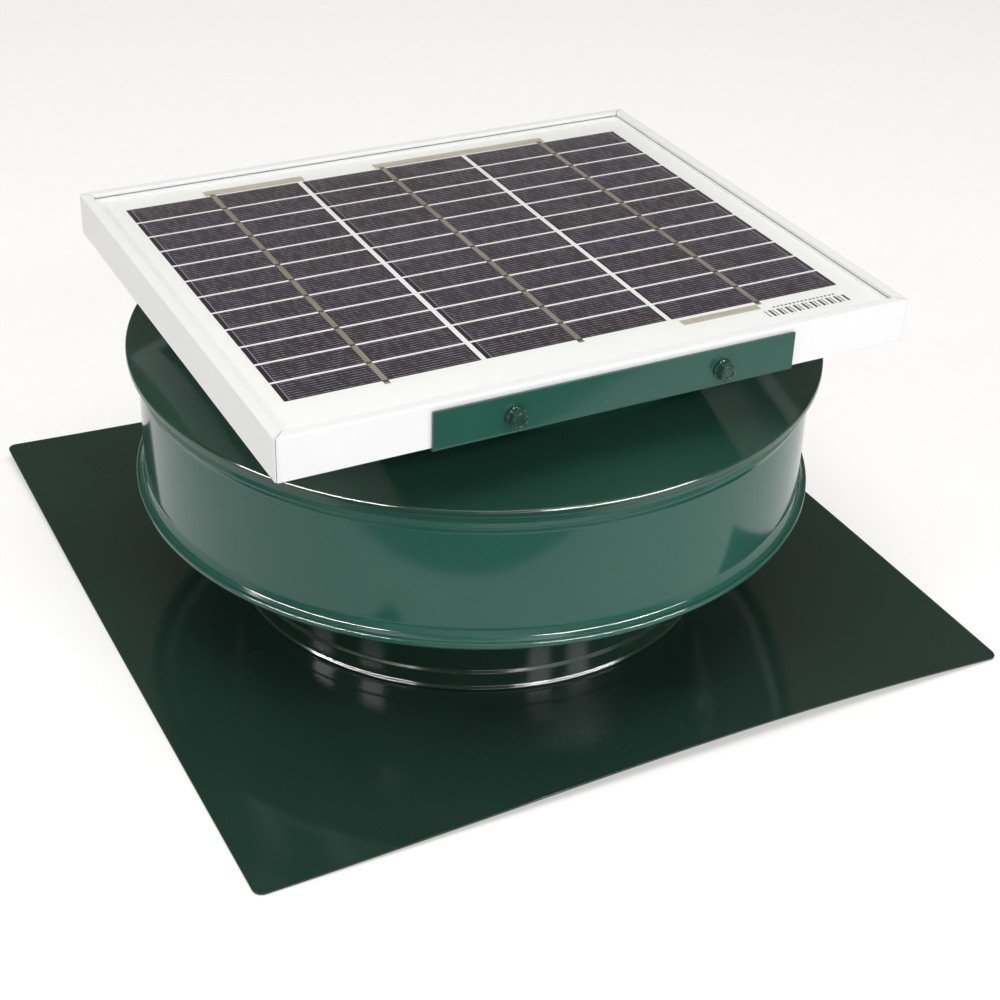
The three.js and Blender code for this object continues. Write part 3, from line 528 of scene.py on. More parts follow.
def add_piece(name, mesh, material, nodes=(), body="housing", place=UPRIGHT, sharp=35):
    """Makes a piece that rides on a body and stands for CAD nodes."""
    mesh.transform(place)
    mesh.materials.clear()
    mesh.materials.append(material)
    mesh.shade_smooth()
    mesh.set_sharp_from_angle(angle=math.radians(sharp))
    made = loose_object(name, mesh)
    made.modifiers.new("even_shading", "WEIGHTED_NORMAL").keep_sharp = True
    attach(made, body)
    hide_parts(*nodes)
    return made


def around(angle):
    return Matrix.Rotation(angle, 4, "Z")


LEG_ANGLES = even_angles(4, math.radians(45))


# ---- Vent body ----


def flange_edge():
    """(angle, radius) places round the flange's edge, close together at its rounded corners."""
    corner_r = 4 * MM
    half = FLANGE_HALF
    straight = half - corner_r
    steps = 44
    outline = [Vector((half, (2 * i / steps - 1) * straight)) for i in range(1, steps)]
    outline += corner_arc(Vector((half, -half)), Vector((half, half)), Vector((-half, half)), corner_r, 6)
    points = [Matrix.Rotation(turn, 2) @ point for turn in even_angles(4) for point in outline]
    return sorted((math.atan2(point.y, point.x), point.length) for point in points)


def flange_bow(x, y):
    """Height of the slight spring in the flange's free edges and in its back left corner."""
    lift = 0.0
    for reach, along, crown, skew in ((-y, x, 5.0 * MM, 1.5), (x, y, 1.5 * MM, 1.0)):
        outward = max(0.0, (reach - THROAT_R) / (FLANGE_HALF - THROAT_R))
        across = min(max((along / FLANGE_HALF + 1) / 2, 0.0), 1.0) ** skew
        lift += crown * outward**1.6 * math.sin(math.pi * across)
    near = 0.75 * THROAT_R
    to_corner = max(0.0, ((y - x) / 2 - near) / (FLANGE_HALF - near))
    return lift + 5.0 * MM * to_corner**1.6


def add_flange(paint):
    edge = flange_edge()
    radius_at = dict(edge)
    hole_r = THROAT_R - 2.3 * MM
    lip_r = hole_r + SHEET
    ease = 0.2 * MM
    shares = [0.02 + 0.98 * i / 16 for i in range(17)]

    def profile(angle):
        outer = radius_at[angle]
        radii = [lip_r + (outer - ease - lip_r) * share for share in shares]
        inside = [(hole_r + ease, LIP_TOP), (hole_r, LIP_TOP - ease)]
        inside += [(hole_r, 1.2 * MM), (hole_r + 1.2 * MM, 0)]
        under = [(r, 0.0) for r in radii]
        top = [(r, SHEET) for r in radii]
        lip = [(lip_r, SHEET + 0.6 * MM), (lip_r, LIP_TOP - ease), (lip_r - ease, LIP_TOP)]
        return inside + under + [(outer, ease), (outer, SHEET - ease)] + top[::-1] + lip

    mesh = turned(profile, [angle for angle, _ in edge])
    for vertex in mesh.vertices:
        vertex.co.z += flange_bow(vertex.co.x, vertex.co.y)
    add_piece("flashing_flange", mesh, paint, ["base_flange"])


def add_throat(paint):
    r = THROAT_R / MM
    foot = THROAT_FOOT / MM
    top = THROAT_TOP / MM
    curl = 3.4
    sleeve_top = LIP_TOP / MM + 0.6
    corners = [
        (r - 1, foot, 0.3), (r + 1.3, foot, 0.5), (r + 1.7, foot + 0.9, 0.6), (r + 0.8, foot + 2, 0.8),
        (r + 0.8, sleeve_top, 1), (r, sleeve_top + 1.4, 1.2), (r, top, 1.5), (r - curl, top, 1.4),
        (r - curl, top - curl, 1.2), (r - curl + 1, top - curl, 0.2), (r - curl + 1, top - 1, 0.6),
        (r - 1, top - 1, 0.5),
    ]
    leg_z = middle("leg_screw_1").z
    strap_z = middle("strap_screw_1").z
    holes = []
    for angle, z in [(turn, leg_z) for turn in LEG_ANGLES] + [(0, strap_z), (math.pi, strap_z)]:
        outward = Vector((math.cos(angle), math.sin(angle), 0))
        holes.append((outward * THROAT_R + Vector((0, 0, z)), outward, 2.3 * MM, 12 * MM))
    mesh = drilled(turned(section(corners, 0, 6)), holes)
    add_piece("throat", mesh, paint, ["throat_collar"])


def add_wind_band(paint):
    lip = BAND_LIP_R / MM
    wall = BAND_R / MM
    neck = wall + 0.9
    flange = CAP_R / MM - 1.4
    foot = BAND_BOTTOM / MM
    lip_top = foot + 3.1
    top = BAND_TOP / MM
    bead = top - 8
    corners = [
        (lip - 2.9, foot, 1), (lip, foot, 1.4), (lip, lip_top, 1.3), (lip - 1.6, lip_top, 0.5),
        (wall + 1, lip_top + 1.2, 1.2), (wall, lip_top + 4.6, 6), (wall, bead - 3, 2),
        (wall + 1.5, bead, 1.6), (neck, bead + 2.2, 1.2), (neck, top - 0.7, 0.6),
        (flange, top - 0.7, 0.2), (flange, top, 0.2), (neck - 1, top, 1), (neck - 1, bead + 1.6, 1),
        (wall - 1, bead - 3, 2), (wall - 1, lip_top + 4.4, 4), (lip - 2.9, lip_top + 0.3, 0.8),
    ]
    mesh = turned(section(corners, 0, 6))
    add_piece("wind_band_shell", mesh, paint, ["wind_band"])


def crown_holes():
    """Holes for the bolts and the lead, through the crown and the bracket that lies on it."""
    holes = []
    for node_name, radius in [(f"cap_bolt_{i}", 2.8) for i in range(1, 5)] + [("cap_grommet", 6.3)]:
        place = middle(node_name)
        holes.append((Vector((place.x, place.y, CAP_TOP)), (0, 0, 1), radius * MM, 12 * MM))
    return holes


def add_cap(paint):
    foot_z = CAP_RIM_TOP + 10.4 * MM
    shoulder = Vector((CROWN_R - 3 * MM, foot_z + 2 * MM))
    top = [(CROWN_R, foot_z, 4 * MM)]
    steps = 14
    for i in range(steps + 1):
        turn = i / steps * math.pi / 2
        r = CROWN_FLAT_R + (shoulder.x - CROWN_FLAT_R) * math.cos(turn)
        top.append((r, shoulder.y + (CAP_TOP - shoulder.y) * math.sin(turn), 0))
    under = [(r - (0.7 * SHEET if r > CROWN_FLAT_R else 0), z - SHEET, ease) for r, z, ease in top]
    hook_z = CAP_RIM_BOTTOM + 0.8 * MM
    rim = [
        (CAP_R - 1.0 * MM, CAP_RIM_TOP - SHEET, 0.3 * MM), (CAP_R - 1.0 * MM, hook_z, 0.1 * MM),
        (CAP_R - 2.6 * MM, hook_z, 0.1 * MM), (CAP_R - 2.6 * MM, CAP_RIM_BOTTOM, 0.3 * MM),
        (CAP_R, CAP_RIM_BOTTOM, 0.9 * MM), (CAP_R, CAP_RIM_TOP + 0.15 * MM, 1.1 * MM),
    ]
    outline = rounded(under[::-1] + rim + top, 5)
    outline = [(0, CAP_TOP - SHEET)] + [tuple(point) for point in outline] + [(0, CAP_TOP)]
    add_piece("cap", drilled(turned(outline), crown_holes()), paint, ["cap_dome"])


# ---- Fasteners: built along Z with the head above z = 0 ----

WASHER_SCREW = {"washer_r": 4.2, "washer": 1.0, "flats": 6.35, "hex": 3.2, "shank_r": 2.0, "pitch": 1.4}
FLANGE_BOLT = {"washer_r": 5.5, "washer": 1.1, "flats": 8.0, "hex": 3.4, "shank_r": 2.5, "pitch": 0.9}


def head_height(spec):
    return (spec["washer"] + spec["hex"]) * MM


def thread(angle, shank_r, pitch, length):
    """Points up the side of a helical thread at that angle, from the tip to the head."""
    depth = 0.22 * pitch
    steps = 4
    count = int(length / pitch * steps)
    points = []
    for k in range(count):
        phase = (k / steps + angle / math.tau) % 1.0
        tip = min(1.0, 0.55 + 0.45 * k / (1.5 * steps))
        points.append(((shank_r - depth + 2 * depth * abs(phase - 0.5)) * tip, k * pitch / steps - length))
    return points


def hexagon_r(angle, flats):
    """Distance from the middle of a hexagon to its side, in the direction of angle."""
    sixth = math.tau / 6
    return flats / 2 / math.cos((angle % sixth) - sixth / 2)


def hex_screw(spec, length):
    """Hex washer head screw: dished head with chamfered corners, washer face and threaded shank."""
    washer_r = spec["washer_r"]
    washer = spec["washer"]
    flat_r = spec["flats"] / 2
    shank_r = spec["shank_r"]
    top = washer + spec["hex"]

    def profile(angle):
        side = hexagon_r(angle, spec["flats"])
        corner = side - flat_r
        head = [
            (shank_r * 0.92, -0.3), (shank_r * 0.92, 0), (washer_r - 0.15, 0), (washer_r, 0.15),
            (washer_r, washer * 0.45), (washer_r - 0.25, washer * 0.62), (side + 0.3, washer),
            (side, washer + 0.25), (side, top - 0.2 - corner * 0.9),
            (side - 0.12, top - 0.06 - corner * 0.85), (flat_r * 0.90, top), (flat_r * 0.66, top),
            (flat_r * 0.58, top - 0.18), (flat_r * 0.50, top - 0.45), (0, top - 0.45),
        ]
        points = [(0, -length)] + thread(angle, shank_r, spec["pitch"], length) + head
        return [(r * MM, z * MM) for r, z in points]

    return turned(profile, SMALL_ROUND)


def hex_nut(flats, bore, height):
    """Hexagon nut with chamfered corners and a countersunk bore; sizes in millimetres."""

    def profile(angle):
        side = hexagon_r(angle, flats)
        drop = 0.12 + (side - flats / 2) * 0.8
        face = flats / 2 - 0.15
        lower = [(bore, 0.5), (bore + 0.45, 0), (face, 0), (side, drop)]
        upper = [(side, height - drop), (face, height), (bore + 0.45, height), (bore, height - 0.5)]
        return [(r * MM, z * MM) for r, z in lower + upper]

    return turned(profile, SMALL_ROUND)


def add_fastener(name, mesh, node_name, place, metal):
    add_piece(name, mesh, metal, [node_name], place=place, sharp=28)


# ---- Panel bracket ----

BRACKET_SHEET = 1.1 * MM


def bracket_face(side):
    """Y of the outer face of the bracket's ear at the front, side -1, or the back, side 1."""
    return low("panel_bracket").y if side < 0 else high("panel_bracket").y


def add_bracket(paint):
    half = BRACKET_SHEET / 2
    front = bracket_face(-1) + half
    back = bracket_face(1) - half
    web = low("panel_bracket").z + half
    ear_top = high("panel_bracket").z
    width = high("panel_bracket").x - low("panel_bracket").x
    corners = [(front, ear_top), (front, web), (back, web), (back, ear_top)]
    mesh = folded(corners, BRACKET_SHEET, width, ALONG_X, 1.3 * MM)
    mesh.transform(Matrix.Translation((middle("panel_bracket").x, 0, 0)))
    holes = crown_holes()
    for i in range(1, 5):
        place = middle(f"panel_screw_{i}")
        holes.append((place, (0, 1, 0), 2.3 * MM, 12 * MM))
    add_piece("panel_bracket_sheet", drilled(mesh, holes), paint, ["panel_bracket"])


def add_panel_screws(paint):
    for i in range(1, 5):
        node_name = f"panel_screw_{i}"
        place = middle(node_name)
        side = -1 if place.y < 0 else 1
        tip = low(node_name).y if side < 0 else high(node_name).y
        place.y = tip - side * head_height(WASHER_SCREW)
        seat = towards(place, (0, side, 0)) @ around(0.35 + 0.9 * i)
        add_fastener(f"ear_screw_{i}", hex_screw(WASHER_SCREW, 7.5), node_name, seat, paint)


# ---- Solar panel ----

RAIL_SECTION = [  # (inwards from the outer face, up from the underside, corner radius), millimetres
    (0, 0, 0.6), (12, 0, 0.3), (12, 1.5, 0.3), (1.5, 1.5, 0.5), (1.5, 10, 0.2), (7, 10, 0.2),
    (7, 11, 0.2), (1.5, 11, 0.2), (1.5, 16.35, 0.2), (4.8, 16.35, 0.2), (4.8, 17.8, 0.4), (0, 17.8, 0.9),
]
CELL_COLUMNS = 3
CELL_ROWS = 12
CELL_LENGTH = 78 * MM
CELL_WIDTH = 13.8 * MM
COLUMN_GAP = 2.3 * MM
ROW_GAP = 1.5 * MM
CELLS_Y = PANEL_MIDDLE.y + 4.7 * MM
CELLS_HALF_X = (CELL_COLUMNS * CELL_LENGTH + (CELL_COLUMNS - 1) * COLUMN_GAP) / 2
CELLS_HALF_Y = (CELL_ROWS * CELL_WIDTH + (CELL_ROWS - 1) * ROW_GAP) / 2
BACK_SHEET_TOP = high("panel_glass").z - 1.6 * MM  # as high as the cells look through the thick glass
CELL_TOP = BACK_SHEET_TOP + 0.16 * MM
GLASS_UNDER = CELL_TOP + 1.0 * MM
LIP_WIDTH = 4.8 * MM
RIBBON_WIDTH = 2.3 * MM
RIBBON_SHEET = 0.12 * MM


def column_x(column):
    return PANEL_MIDDLE.x + (column - (CELL_COLUMNS - 1) / 2) * (CELL_LENGTH + COLUMN_GAP)


def row_y(row):
    return CELLS_Y + (row - (CELL_ROWS - 1) / 2) * (CELL_WIDTH + ROW_GAP)


def frame_outline():
    """Block of the whole frame's size whose upright corners are rounded."""
    outline = rectangle(PANEL_LOW.x, PANEL_HIGH.x, PANEL_LOW.y, PANEL_HIGH.y, 2.5 * MM, 8)
    return prism(outline, PANEL_SIZE.z + 2 * MM, Matrix.Translation((0, 0, PANEL_MIDDLE.z)))


def add_frame_rail(side, turn, length, distance, coat, holes):
    """One mitred rail of the panel's frame; at turn 0 it runs along X at the front."""
    mitre_gap = GAP * 0.75
    mesh = prism(section(RAIL_SECTION, 0, 3), 2)
    for vertex in mesh.vertices:
        inwards, up, end = vertex.co
        vertex.co = (end * (length / 2 - inwards - mitre_gap), inwards, up)
    mesh.transform(Matrix.Translation((PANEL_MIDDLE.x, PANEL_MIDDLE.y, PANEL_LOW.z)) @ around(turn)
                   @ Matrix.Translation((0, -distance, 0)))
    mesh = combined(mesh, frame_outline(), "INTERSECT")
    mesh = bevelled(mesh, 0.12 * MM, 2, 40)
    if holes:
        mesh = drilled(mesh, holes)
    add_piece(f"frame_{side}", mesh, coat, [f"frame_rail_{side}"])


def add_frame(coat):
    half_x = PANEL_SIZE.x / 2
    half_y = PANEL_SIZE.y / 2

    def screw_holes(numbers):
        return [(middle(f"panel_screw_{i}"), (0, 1, 0), 2.3 * MM, 16 * MM) for i in numbers]

    add_frame_rail("front", 0, PANEL_SIZE.x, half_y, coat, screw_holes((1, 2)))
    add_frame_rail("back", math.pi, PANEL_SIZE.x, half_y, coat, screw_holes((3, 4)))
    add_frame_rail("right", math.pi / 2, PANEL_SIZE.y, half_x, coat, [])
    add_frame_rail("left", -math.pi / 2, PANEL_SIZE.y, half_x, coat, [])


def plate(x0, x1, y0, y1, z0, z1, ease):
    """Flat plate with rounded corners and eased edges."""
    place = Matrix.Translation((0, 0, (z0 + z1) / 2))
    mesh = prism(rectangle(x0, x1, y0, y1, ease, 3), z1 - z0, place)
    return bevelled(mesh, min(ease, (z1 - z0) * 0.3), 2, 50)


def add_glass(glass):
    box_low, box_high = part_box("panel_glass")
    x0, x1, y0, y1 = box_low.x, box_high.x, box_low.y, box_high.y
    mesh = plate(x0, x1, y0, y1, GLASS_UNDER, box_high.z, 0.4 * MM)
    add_piece("cover_glass", mesh, glass, ["panel_glass"])


def add_back_sheet(sheet):
    """White sheet behind the cells, turned up to the glass round its edge, under the frame's lip."""
    box_low, box_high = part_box("cell_laminate")
    x0, x1, y0, y1 = box_low.x, box_high.x, box_low.y, box_high.y
    left, right = PANEL_LOW.x + LIP_WIDTH, PANEL_HIGH.x - LIP_WIDTH
    front, back = PANEL_LOW.y + LIP_WIDTH, PANEL_HIGH.y - LIP_WIDTH
    parts = [plate(x0, x1, y0, y1, box_low.z, BACK_SHEET_TOP, 0.4 * MM)]
    sides = ((x0, left, front, back), (right, x1, front, back))
    for edge in ((x0, x1, y0, front), (x0, x1, back, y1), *sides):
        parts.append(plate(*edge, BACK_SHEET_TOP - 0.1 * MM, GLASS_UNDER - 0.03 * MM, 0.05 * MM))
    add_piece("back_sheet", joined(parts), sheet, ["cell_laminate"])


def cell_mesh(column, row):
    """One cut cell, its own place stored as (along from the wafer's old edge, across, chance)."""
    x0, x1 = column_x(column) - CELL_LENGTH / 2, column_x(column) + CELL_LENGTH / 2
    y0, y1 = row_y(row) - CELL_WIDTH / 2, row_y(row) + CELL_WIDTH / 2
    mesh = plate(x0, x1, y0, y1, CELL_TOP - 0.2 * MM, CELL_TOP, 0.06 * MM)
    old_edge = x1 if column == CELL_COLUMNS - 1 else x0
    chance = math.sin(12.9 * column + 78.2 * row + 1.7) * 43.7 % 1.0
    place = mesh.attributes.new("cell_place", "FLOAT_VECTOR", "POINT")
    for vertex, item in zip(mesh.vertices, place.data):
        item.vector = (abs(vertex.co.x - old_edge), vertex.co.y - y0, chance)
    return mesh


def add_cells(silicon):
    cells = [cell_mesh(column, row) for column in range(CELL_COLUMNS) for row in range(CELL_ROWS)]
    add_piece("solar_cells", joined(cells), silicon)


def ribbon_mesh(column):
    """Tinned ribbon along a column of cells: flat on each cell and dipping at each gap."""
    on_cell = CELL_TOP + RIBBON_SHEET / 2 + 0.02 * MM
    in_gap = BACK_SHEET_TOP + RIBBON_SHEET / 2 + 0.01 * MM
    ends = 2.6 * MM
    ramp = 0.9 * MM
    corners = [(row_y(0) - CELL_WIDTH / 2 - ends, in_gap)]
    for row in range(CELL_ROWS):
        front = row_y(row) - CELL_WIDTH / 2
        back = row_y(row) + CELL_WIDTH / 2
        corners += [(front - 0.25 * MM, in_gap), (front + 0.1 * MM, on_cell)]
        corners += [(back - 0.1 * MM, on_cell), (back + ramp, in_gap)]
    corners.append((row_y(CELL_ROWS - 1) + CELL_WIDTH / 2 + ends, in_gap))
    outline = strip_outline([Vector(corner) for corner in corners], RIBBON_SHEET)
    mesh = prism(outline, RIBBON_WIDTH, ALONG_X)
    mesh.transform(Matrix.Translation((column_x(column), 0, 0)))
    return mesh


def add_ribbons(tin):
    ribbons = [ribbon_mesh(column) for column in range(CELL_COLUMNS)]
    add_piece("ribbons", joined(ribbons), tin)


def bus_strip(x0, x1, near, width):
    """Strip on the back sheet beyond the cells' front, near below 0, or back edge."""
    side = 1 if near > 0 else -1
    y0 = CELLS_Y + side * CELLS_HALF_Y + near
    y1 = y0 + side * width
    top = BACK_SHEET_TOP + 0.1 * MM
    return plate(x0, x1, min(y0, y1), max(y0, y1), BACK_SHEET_TOP - 0.05 * MM, top, 0.3 * MM)


def add_bus_strips(tape):
    middle_x = [column_x(column) for column in range(CELL_COLUMNS)]
    pitch = CELL_LENGTH + COLUMN_GAP
    over = 3 * MM
    strips = [
        bus_strip(middle_x[0] - over, middle_x[0] + pitch / 2 + over, 1.2 * MM, 5.0 * MM),
        bus_strip(middle_x[1] - over, middle_x[2] + over, 1.2 * MM, 5.0 * MM),
        bus_strip(middle_x[1] + pitch / 2 + over, middle_x[2] - over * 0.5, -2.2 * MM, 4.0 * MM),
    ]
    add_piece("bus_strips", joined(strips), tape)


def add_label(ink):
    """Generic stripes where the panel's label is: a row of bars and a row of short dashes."""
    x = PANEL_MIDDLE.x + CELLS_HALF_X - 41 * MM
    end = x + 37.5 * MM
    y = CELLS_Y - CELLS_HALF_Y - 11.2 * MM
    marks = []
    count = 0
    while x < end:
        wide = (0.45 + 0.35 * (count * 7 % 4)) * MM
        if count % 2 == 0:
            marks.append((x, x + wide, y - 2.6 * MM, y + 2.6 * MM))
        x += wide
        count += 1
    for i in range(16):
        x = end + (1.9 * i - 32) * MM
        marks.append((x, x + 1.1 * MM, y + 4.0 * MM, y + 4.8 * MM))
    low_z, high_z = BACK_SHEET_TOP - 0.04 * MM, BACK_SHEET_TOP + 0.05 * MM
    mesh = joined([plate(*mark, low_z, high_z, 0.02 * MM) for mark in marks])
    add_piece("label_stripes", mesh, ink)


def silicon_cell(name):
    """Dark textured wafer with printed fingers, the wafer's edge line and a tone of its own per cell."""
    material, tree, surface = new_material(name)
    place = node(tree, "ShaderNodeAttribute", {"attribute_name": "cell_place"}).outputs["Vector"]
    along, across, chance = node(tree, "ShaderNodeSeparateXYZ", Vector=place).outputs
    pitch = CELL_WIDTH / 8
    edge_line = 2.1 * MM
    half_chance = math_node(tree, "MULTIPLY", chance, 0.5)
    tone = math_node(tree, "MULTIPLY_ADD", noise(tree, 35, 3), 0.5, half_chance)
    wafer = mottled(tree, tone, (0.013, 0.007, 0.012), (0.017, 0.012, 0.030), 0.25, 0.75)
    wobble = math_node(tree, "MULTIPLY", noise(tree, 900, 2), 0.12 * MM)
    shifted = math_node(tree, "ADD", math_node(tree, "ADD", across, wobble), pitch / 2)
    from_finger = math_node(tree, "PINGPONG", shifted, pitch / 2)
    finger = ranged(tree, from_finger, 0.11 * MM, 0.24 * MM, 1, 0)
    inside = ranged(tree, along, edge_line, edge_line + 0.05 * MM, 0, 1)
    not_far = ranged(tree, along, CELL_LENGTH - 0.9 * MM, CELL_LENGTH - 0.8 * MM, 1, 0)
    breaks = ranged(tree, noise(tree, 750, 2, 0.5, (1, 0.3, 1)), 0.42, 0.58, 0.3, 1.0)
    for part in (inside, not_far, breaks):
        finger = math_node(tree, "MULTIPLY", finger, part)
    from_line = math_node(tree, "ABSOLUTE", math_node(tree, "SUBTRACT", along, edge_line))
    line = ranged(tree, from_line, 0.12 * MM, 0.24 * MM, 0.9, 0)
    silver = math_node(tree, "MAXIMUM", finger, line)
    colour = blend_colour(tree, silver, wafer, (0.34, 0.32, 0.40))
    height = math_node(tree, "MULTIPLY_ADD", noise(tree, 2500, 2), 0.3, silver)
    wear = ranged(tree, silver, 0, 1, 0.38, 0.5)
    plug(surface, Base_Color=colour, Roughness=wear, Specular_IOR_Level=0.12)
    plug(surface, Normal=bump(tree, height, 0.02 * MM, 0.6))
    return material


def tinned_ribbon(name):
    """Dull tinned copper, with painted shade where the ribbon dips between two cells."""
    material, tree, surface = new_material(name)
    streaks = noise(tree, 260, 4, 0.6, (1, 0.1, 1))
    tin = mottled(tree, streaks, (0.26, 0.23, 0.19), (0.42, 0.38, 0.32))
    along = node(tree, "ShaderNodeSeparateXYZ", Vector=object_place(tree)).outputs[1]
    pitch = CELL_WIDTH + ROW_GAP
    from_first = math_node(tree, "SUBTRACT", along, row_y(0) - 10.5 * pitch)
    from_gap = math_node(tree, "PINGPONG", from_first, pitch / 2)
    # Painted shade on the ribbon where it dips into the gap between two cells.
    dip_painted_shade = ranged(tree, from_gap, 0.55 * MM, 1.0 * MM, 0.85, 0)
    colour = blend_colour(tree, dip_painted_shade, tin, (0.03, 0.025, 0.03))
    drawn = bump(tree, streaks, 0.02 * MM, 0.5)
    plug(surface, Base_Color=colour, Metallic=0.35, Roughness=0.45, Normal=drawn)
    return material


def strip_tape(name):
    """Bus ribbon seen through its backing: beige and mottled."""
    material, tree, surface = new_material(name)
    mottle = noise(tree, 160, 4, 0.6, (0.3, 1, 1))
    beige = mottled(tree, mottle, (0.46, 0.42, 0.34), (0.60, 0.56, 0.48))
    plug(surface, Base_Color=beige, Roughness=0.4, Normal=bump(tree, mottle, 0.03 * MM, 0.5))
    return material


# ---- Cap legs, nuts and bolts ----

LEG_SHEET = 1.5 * MM
LEG_WIDTH = 16 * MM
LEG_WALL_R = THROAT_R + GAP + 0.1 * MM + LEG_SHEET / 2  # middle of the leg's upright sheet
BOLT_R = math.hypot(middle("cap_bolt_1").x, middle("cap_bolt_1").y)


def add_legs(aluminium, zinc):
    top = high("cap_leg_1").z - LEG_SHEET / 2
    foot = low("cap_leg_1").z
    corners = [(LEG_WALL_R, foot), (LEG_WALL_R, foot + 72 * MM)]
    corners += [(BOLT_R + 9.4 * MM, top), (BOLT_R - 9 * MM, top)]
    screw_z = middle("leg_screw_1").z
    screw_r = LEG_WALL_R + LEG_SHEET / 2 + GAP
    bolt_z = high("cap_bolt_1").z - head_height(FLANGE_BOLT)
    nut_z = low("cap_nut_1").z
    nut_height = (high("cap_nut_1").z - nut_z) / MM
    nut = hex_nut(FLANGE_BOLT["flats"], 2.8, nut_height)
    holes = [
        (Vector((LEG_WALL_R, 0, screw_z)), (1, 0, 0), 2.3 * MM, 8 * MM),
        (Vector((BOLT_R, 0, top)), (0, 0, 1), 2.8 * MM, 8 * MM),
    ]
    for i, turn in enumerate(LEG_ANGLES, 1):
        spin = around(turn)
        leg = drilled(folded(corners, LEG_SHEET, LEG_WIDTH, ALONG_Y, 5 * MM), holes)
        add_piece(f"leg_{i}", leg, aluminium, [f"cap_leg_{i}"], place=spin)
        place = spin @ Matrix.Translation((BOLT_R, 0, bolt_z)) @ around(0.4 * i)
        add_fastener(f"bolt_{i}", hex_screw(FLANGE_BOLT, 12), f"cap_bolt_{i}", place, zinc)
        place = spin @ Matrix.Translation((BOLT_R, 0, nut_z))
        add_fastener(f"nut_{i}", nut.copy(), f"cap_nut_{i}", place, zinc)
        place = spin @ towards(Vector((screw_r, 0, screw_z)), (1, 0, 0)) @ around(0.7 * i)
        add_fastener(f"leg_hex_screw_{i}", hex_screw(WASHER_SCREW, 8), f"leg_screw_{i}", place, zinc)


# ---- Exhaust screen: woven wire between two flat rims ----

SCREEN_INNER = THROAT_R + GAP
SCREEN_OUTER = high("exhaust_screen").x
SCREEN_MIDDLE = middle("exhaust_screen").z
SCREEN_SHEET = high("exhaust_screen").z - low("exhaust_screen").z
SCREEN_RIM = 4.4 * MM
NOTCH_R = THROAT_R + 2 * GAP + LEG_SHEET + 0.6 * MM
NOTCH_HALF = LEG_WIDTH / 2 + 0.6 * MM
WIRE_PITCH = 4 * MM
WIRE_R = 0.3 * MM


def wire_shows(x, y):
    """Whether the mesh covers that place: between the rims' edges and clear of the leg notches."""
    edge = 0.9 * MM
    if not SCREEN_INNER + edge < math.hypot(x, y) < SCREEN_OUTER - edge:
        return False
    for turn in LEG_ANGLES:
        along = x * math.cos(turn) + y * math.sin(turn)
        across = y * math.cos(turn) - x * math.sin(turn)
        if 0 < along < NOTCH_R + edge and abs(across) < NOTCH_HALF + edge:
            return False
    return True


def woven_wire(points, faces, line, turned_over):
    """Adds the stretches of one woven wire, which runs along X or, turned over, along Y."""
    sides = 6
    half_count = int(SCREEN_OUTER / WIRE_PITCH) * 2 + 2
    offset = (line + 0.5) * WIRE_PITCH
    previous = None
    for k in range(-half_count, half_count + 1):
        along = k * WIRE_PITCH / 2
        x, y = (offset, along) if turned_over else (along, offset)
        if not wire_shows(x, y):
            previous = None
            continue
        crossing = (k - 1) // 2
        lift = 0.0
        if k % 2:
            lift = 0.9 * WIRE_R * (-1) ** (line + crossing + turned_over)
        ring = len(points)
        for i in range(sides):
            angle = math.tau * i / sides
            beside = WIRE_R * math.cos(angle)
            z = SCREEN_MIDDLE + lift + WIRE_R * math.sin(angle)
            points.append((x + beside, y, z) if turned_over else (x, y + beside, z))
        if previous is not None:
            for i in range(sides):
                following = (i + 1) % sides
                face = [previous + i, previous + following, ring + following, ring + i]
                faces.append(face if turned_over else face[::-1])
        previous = ring


def screen_rim(inner, outer):
    low_z = SCREEN_MIDDLE - SCREEN_SHEET / 2
    corners = [(inner, 0), (outer, 0), (outer, SCREEN_SHEET), (inner, SCREEN_SHEET)]
    return turned(rounded([(r, low_z + z, 0.3 * MM) for r, z in corners], 3))


def add_screen(wire):
    points = []
    faces = []
    lines = int(SCREEN_OUTER / WIRE_PITCH) + 1
    for line in range(-lines, lines):
        woven_wire(points, faces, line, 0)
        woven_wire(points, faces, line, 1)
    near = SCREEN_INNER - 4 * MM
    outline = [(near, -NOTCH_HALF), (NOTCH_R, -NOTCH_HALF), (NOTCH_R, NOTCH_HALF), (near, NOTCH_HALF)]
    level = Matrix.Translation((0, 0, SCREEN_MIDDLE))
    notches = [prism(outline, 6 * MM, around(turn) @ level) for turn in LEG_ANGLES]
    inner = combined(screen_rim(SCREEN_INNER, SCREEN_INNER + SCREEN_RIM), joined(notches))
    outer = screen_rim(SCREEN_OUTER - SCREEN_RIM, SCREEN_OUTER)
    whole = joined([mesh_from(points, faces), inner, outer])
    add_piece("wire_screen", whole, wire, ["exhaust_screen"], sharp=50)


# ---- Motor: strap, can, end cap and what they hold ----

CAN_R = high("motor_can").x / MM
CAN_WALL = 1.2
CAN_FOOT = low("motor_can").z
CAN_HEIGHT = (high("motor_can").z - CAN_FOOT) / MM
MOTOR_SCREW_X = middle("motor_screw_1").x


def motor_screw_holes(z, length):
    return [(Vector((x, 0, z)), (0, 0, 1), 1.8 * MM, length) for x in (-MOTOR_SCREW_X, MOTOR_SCREW_X)]


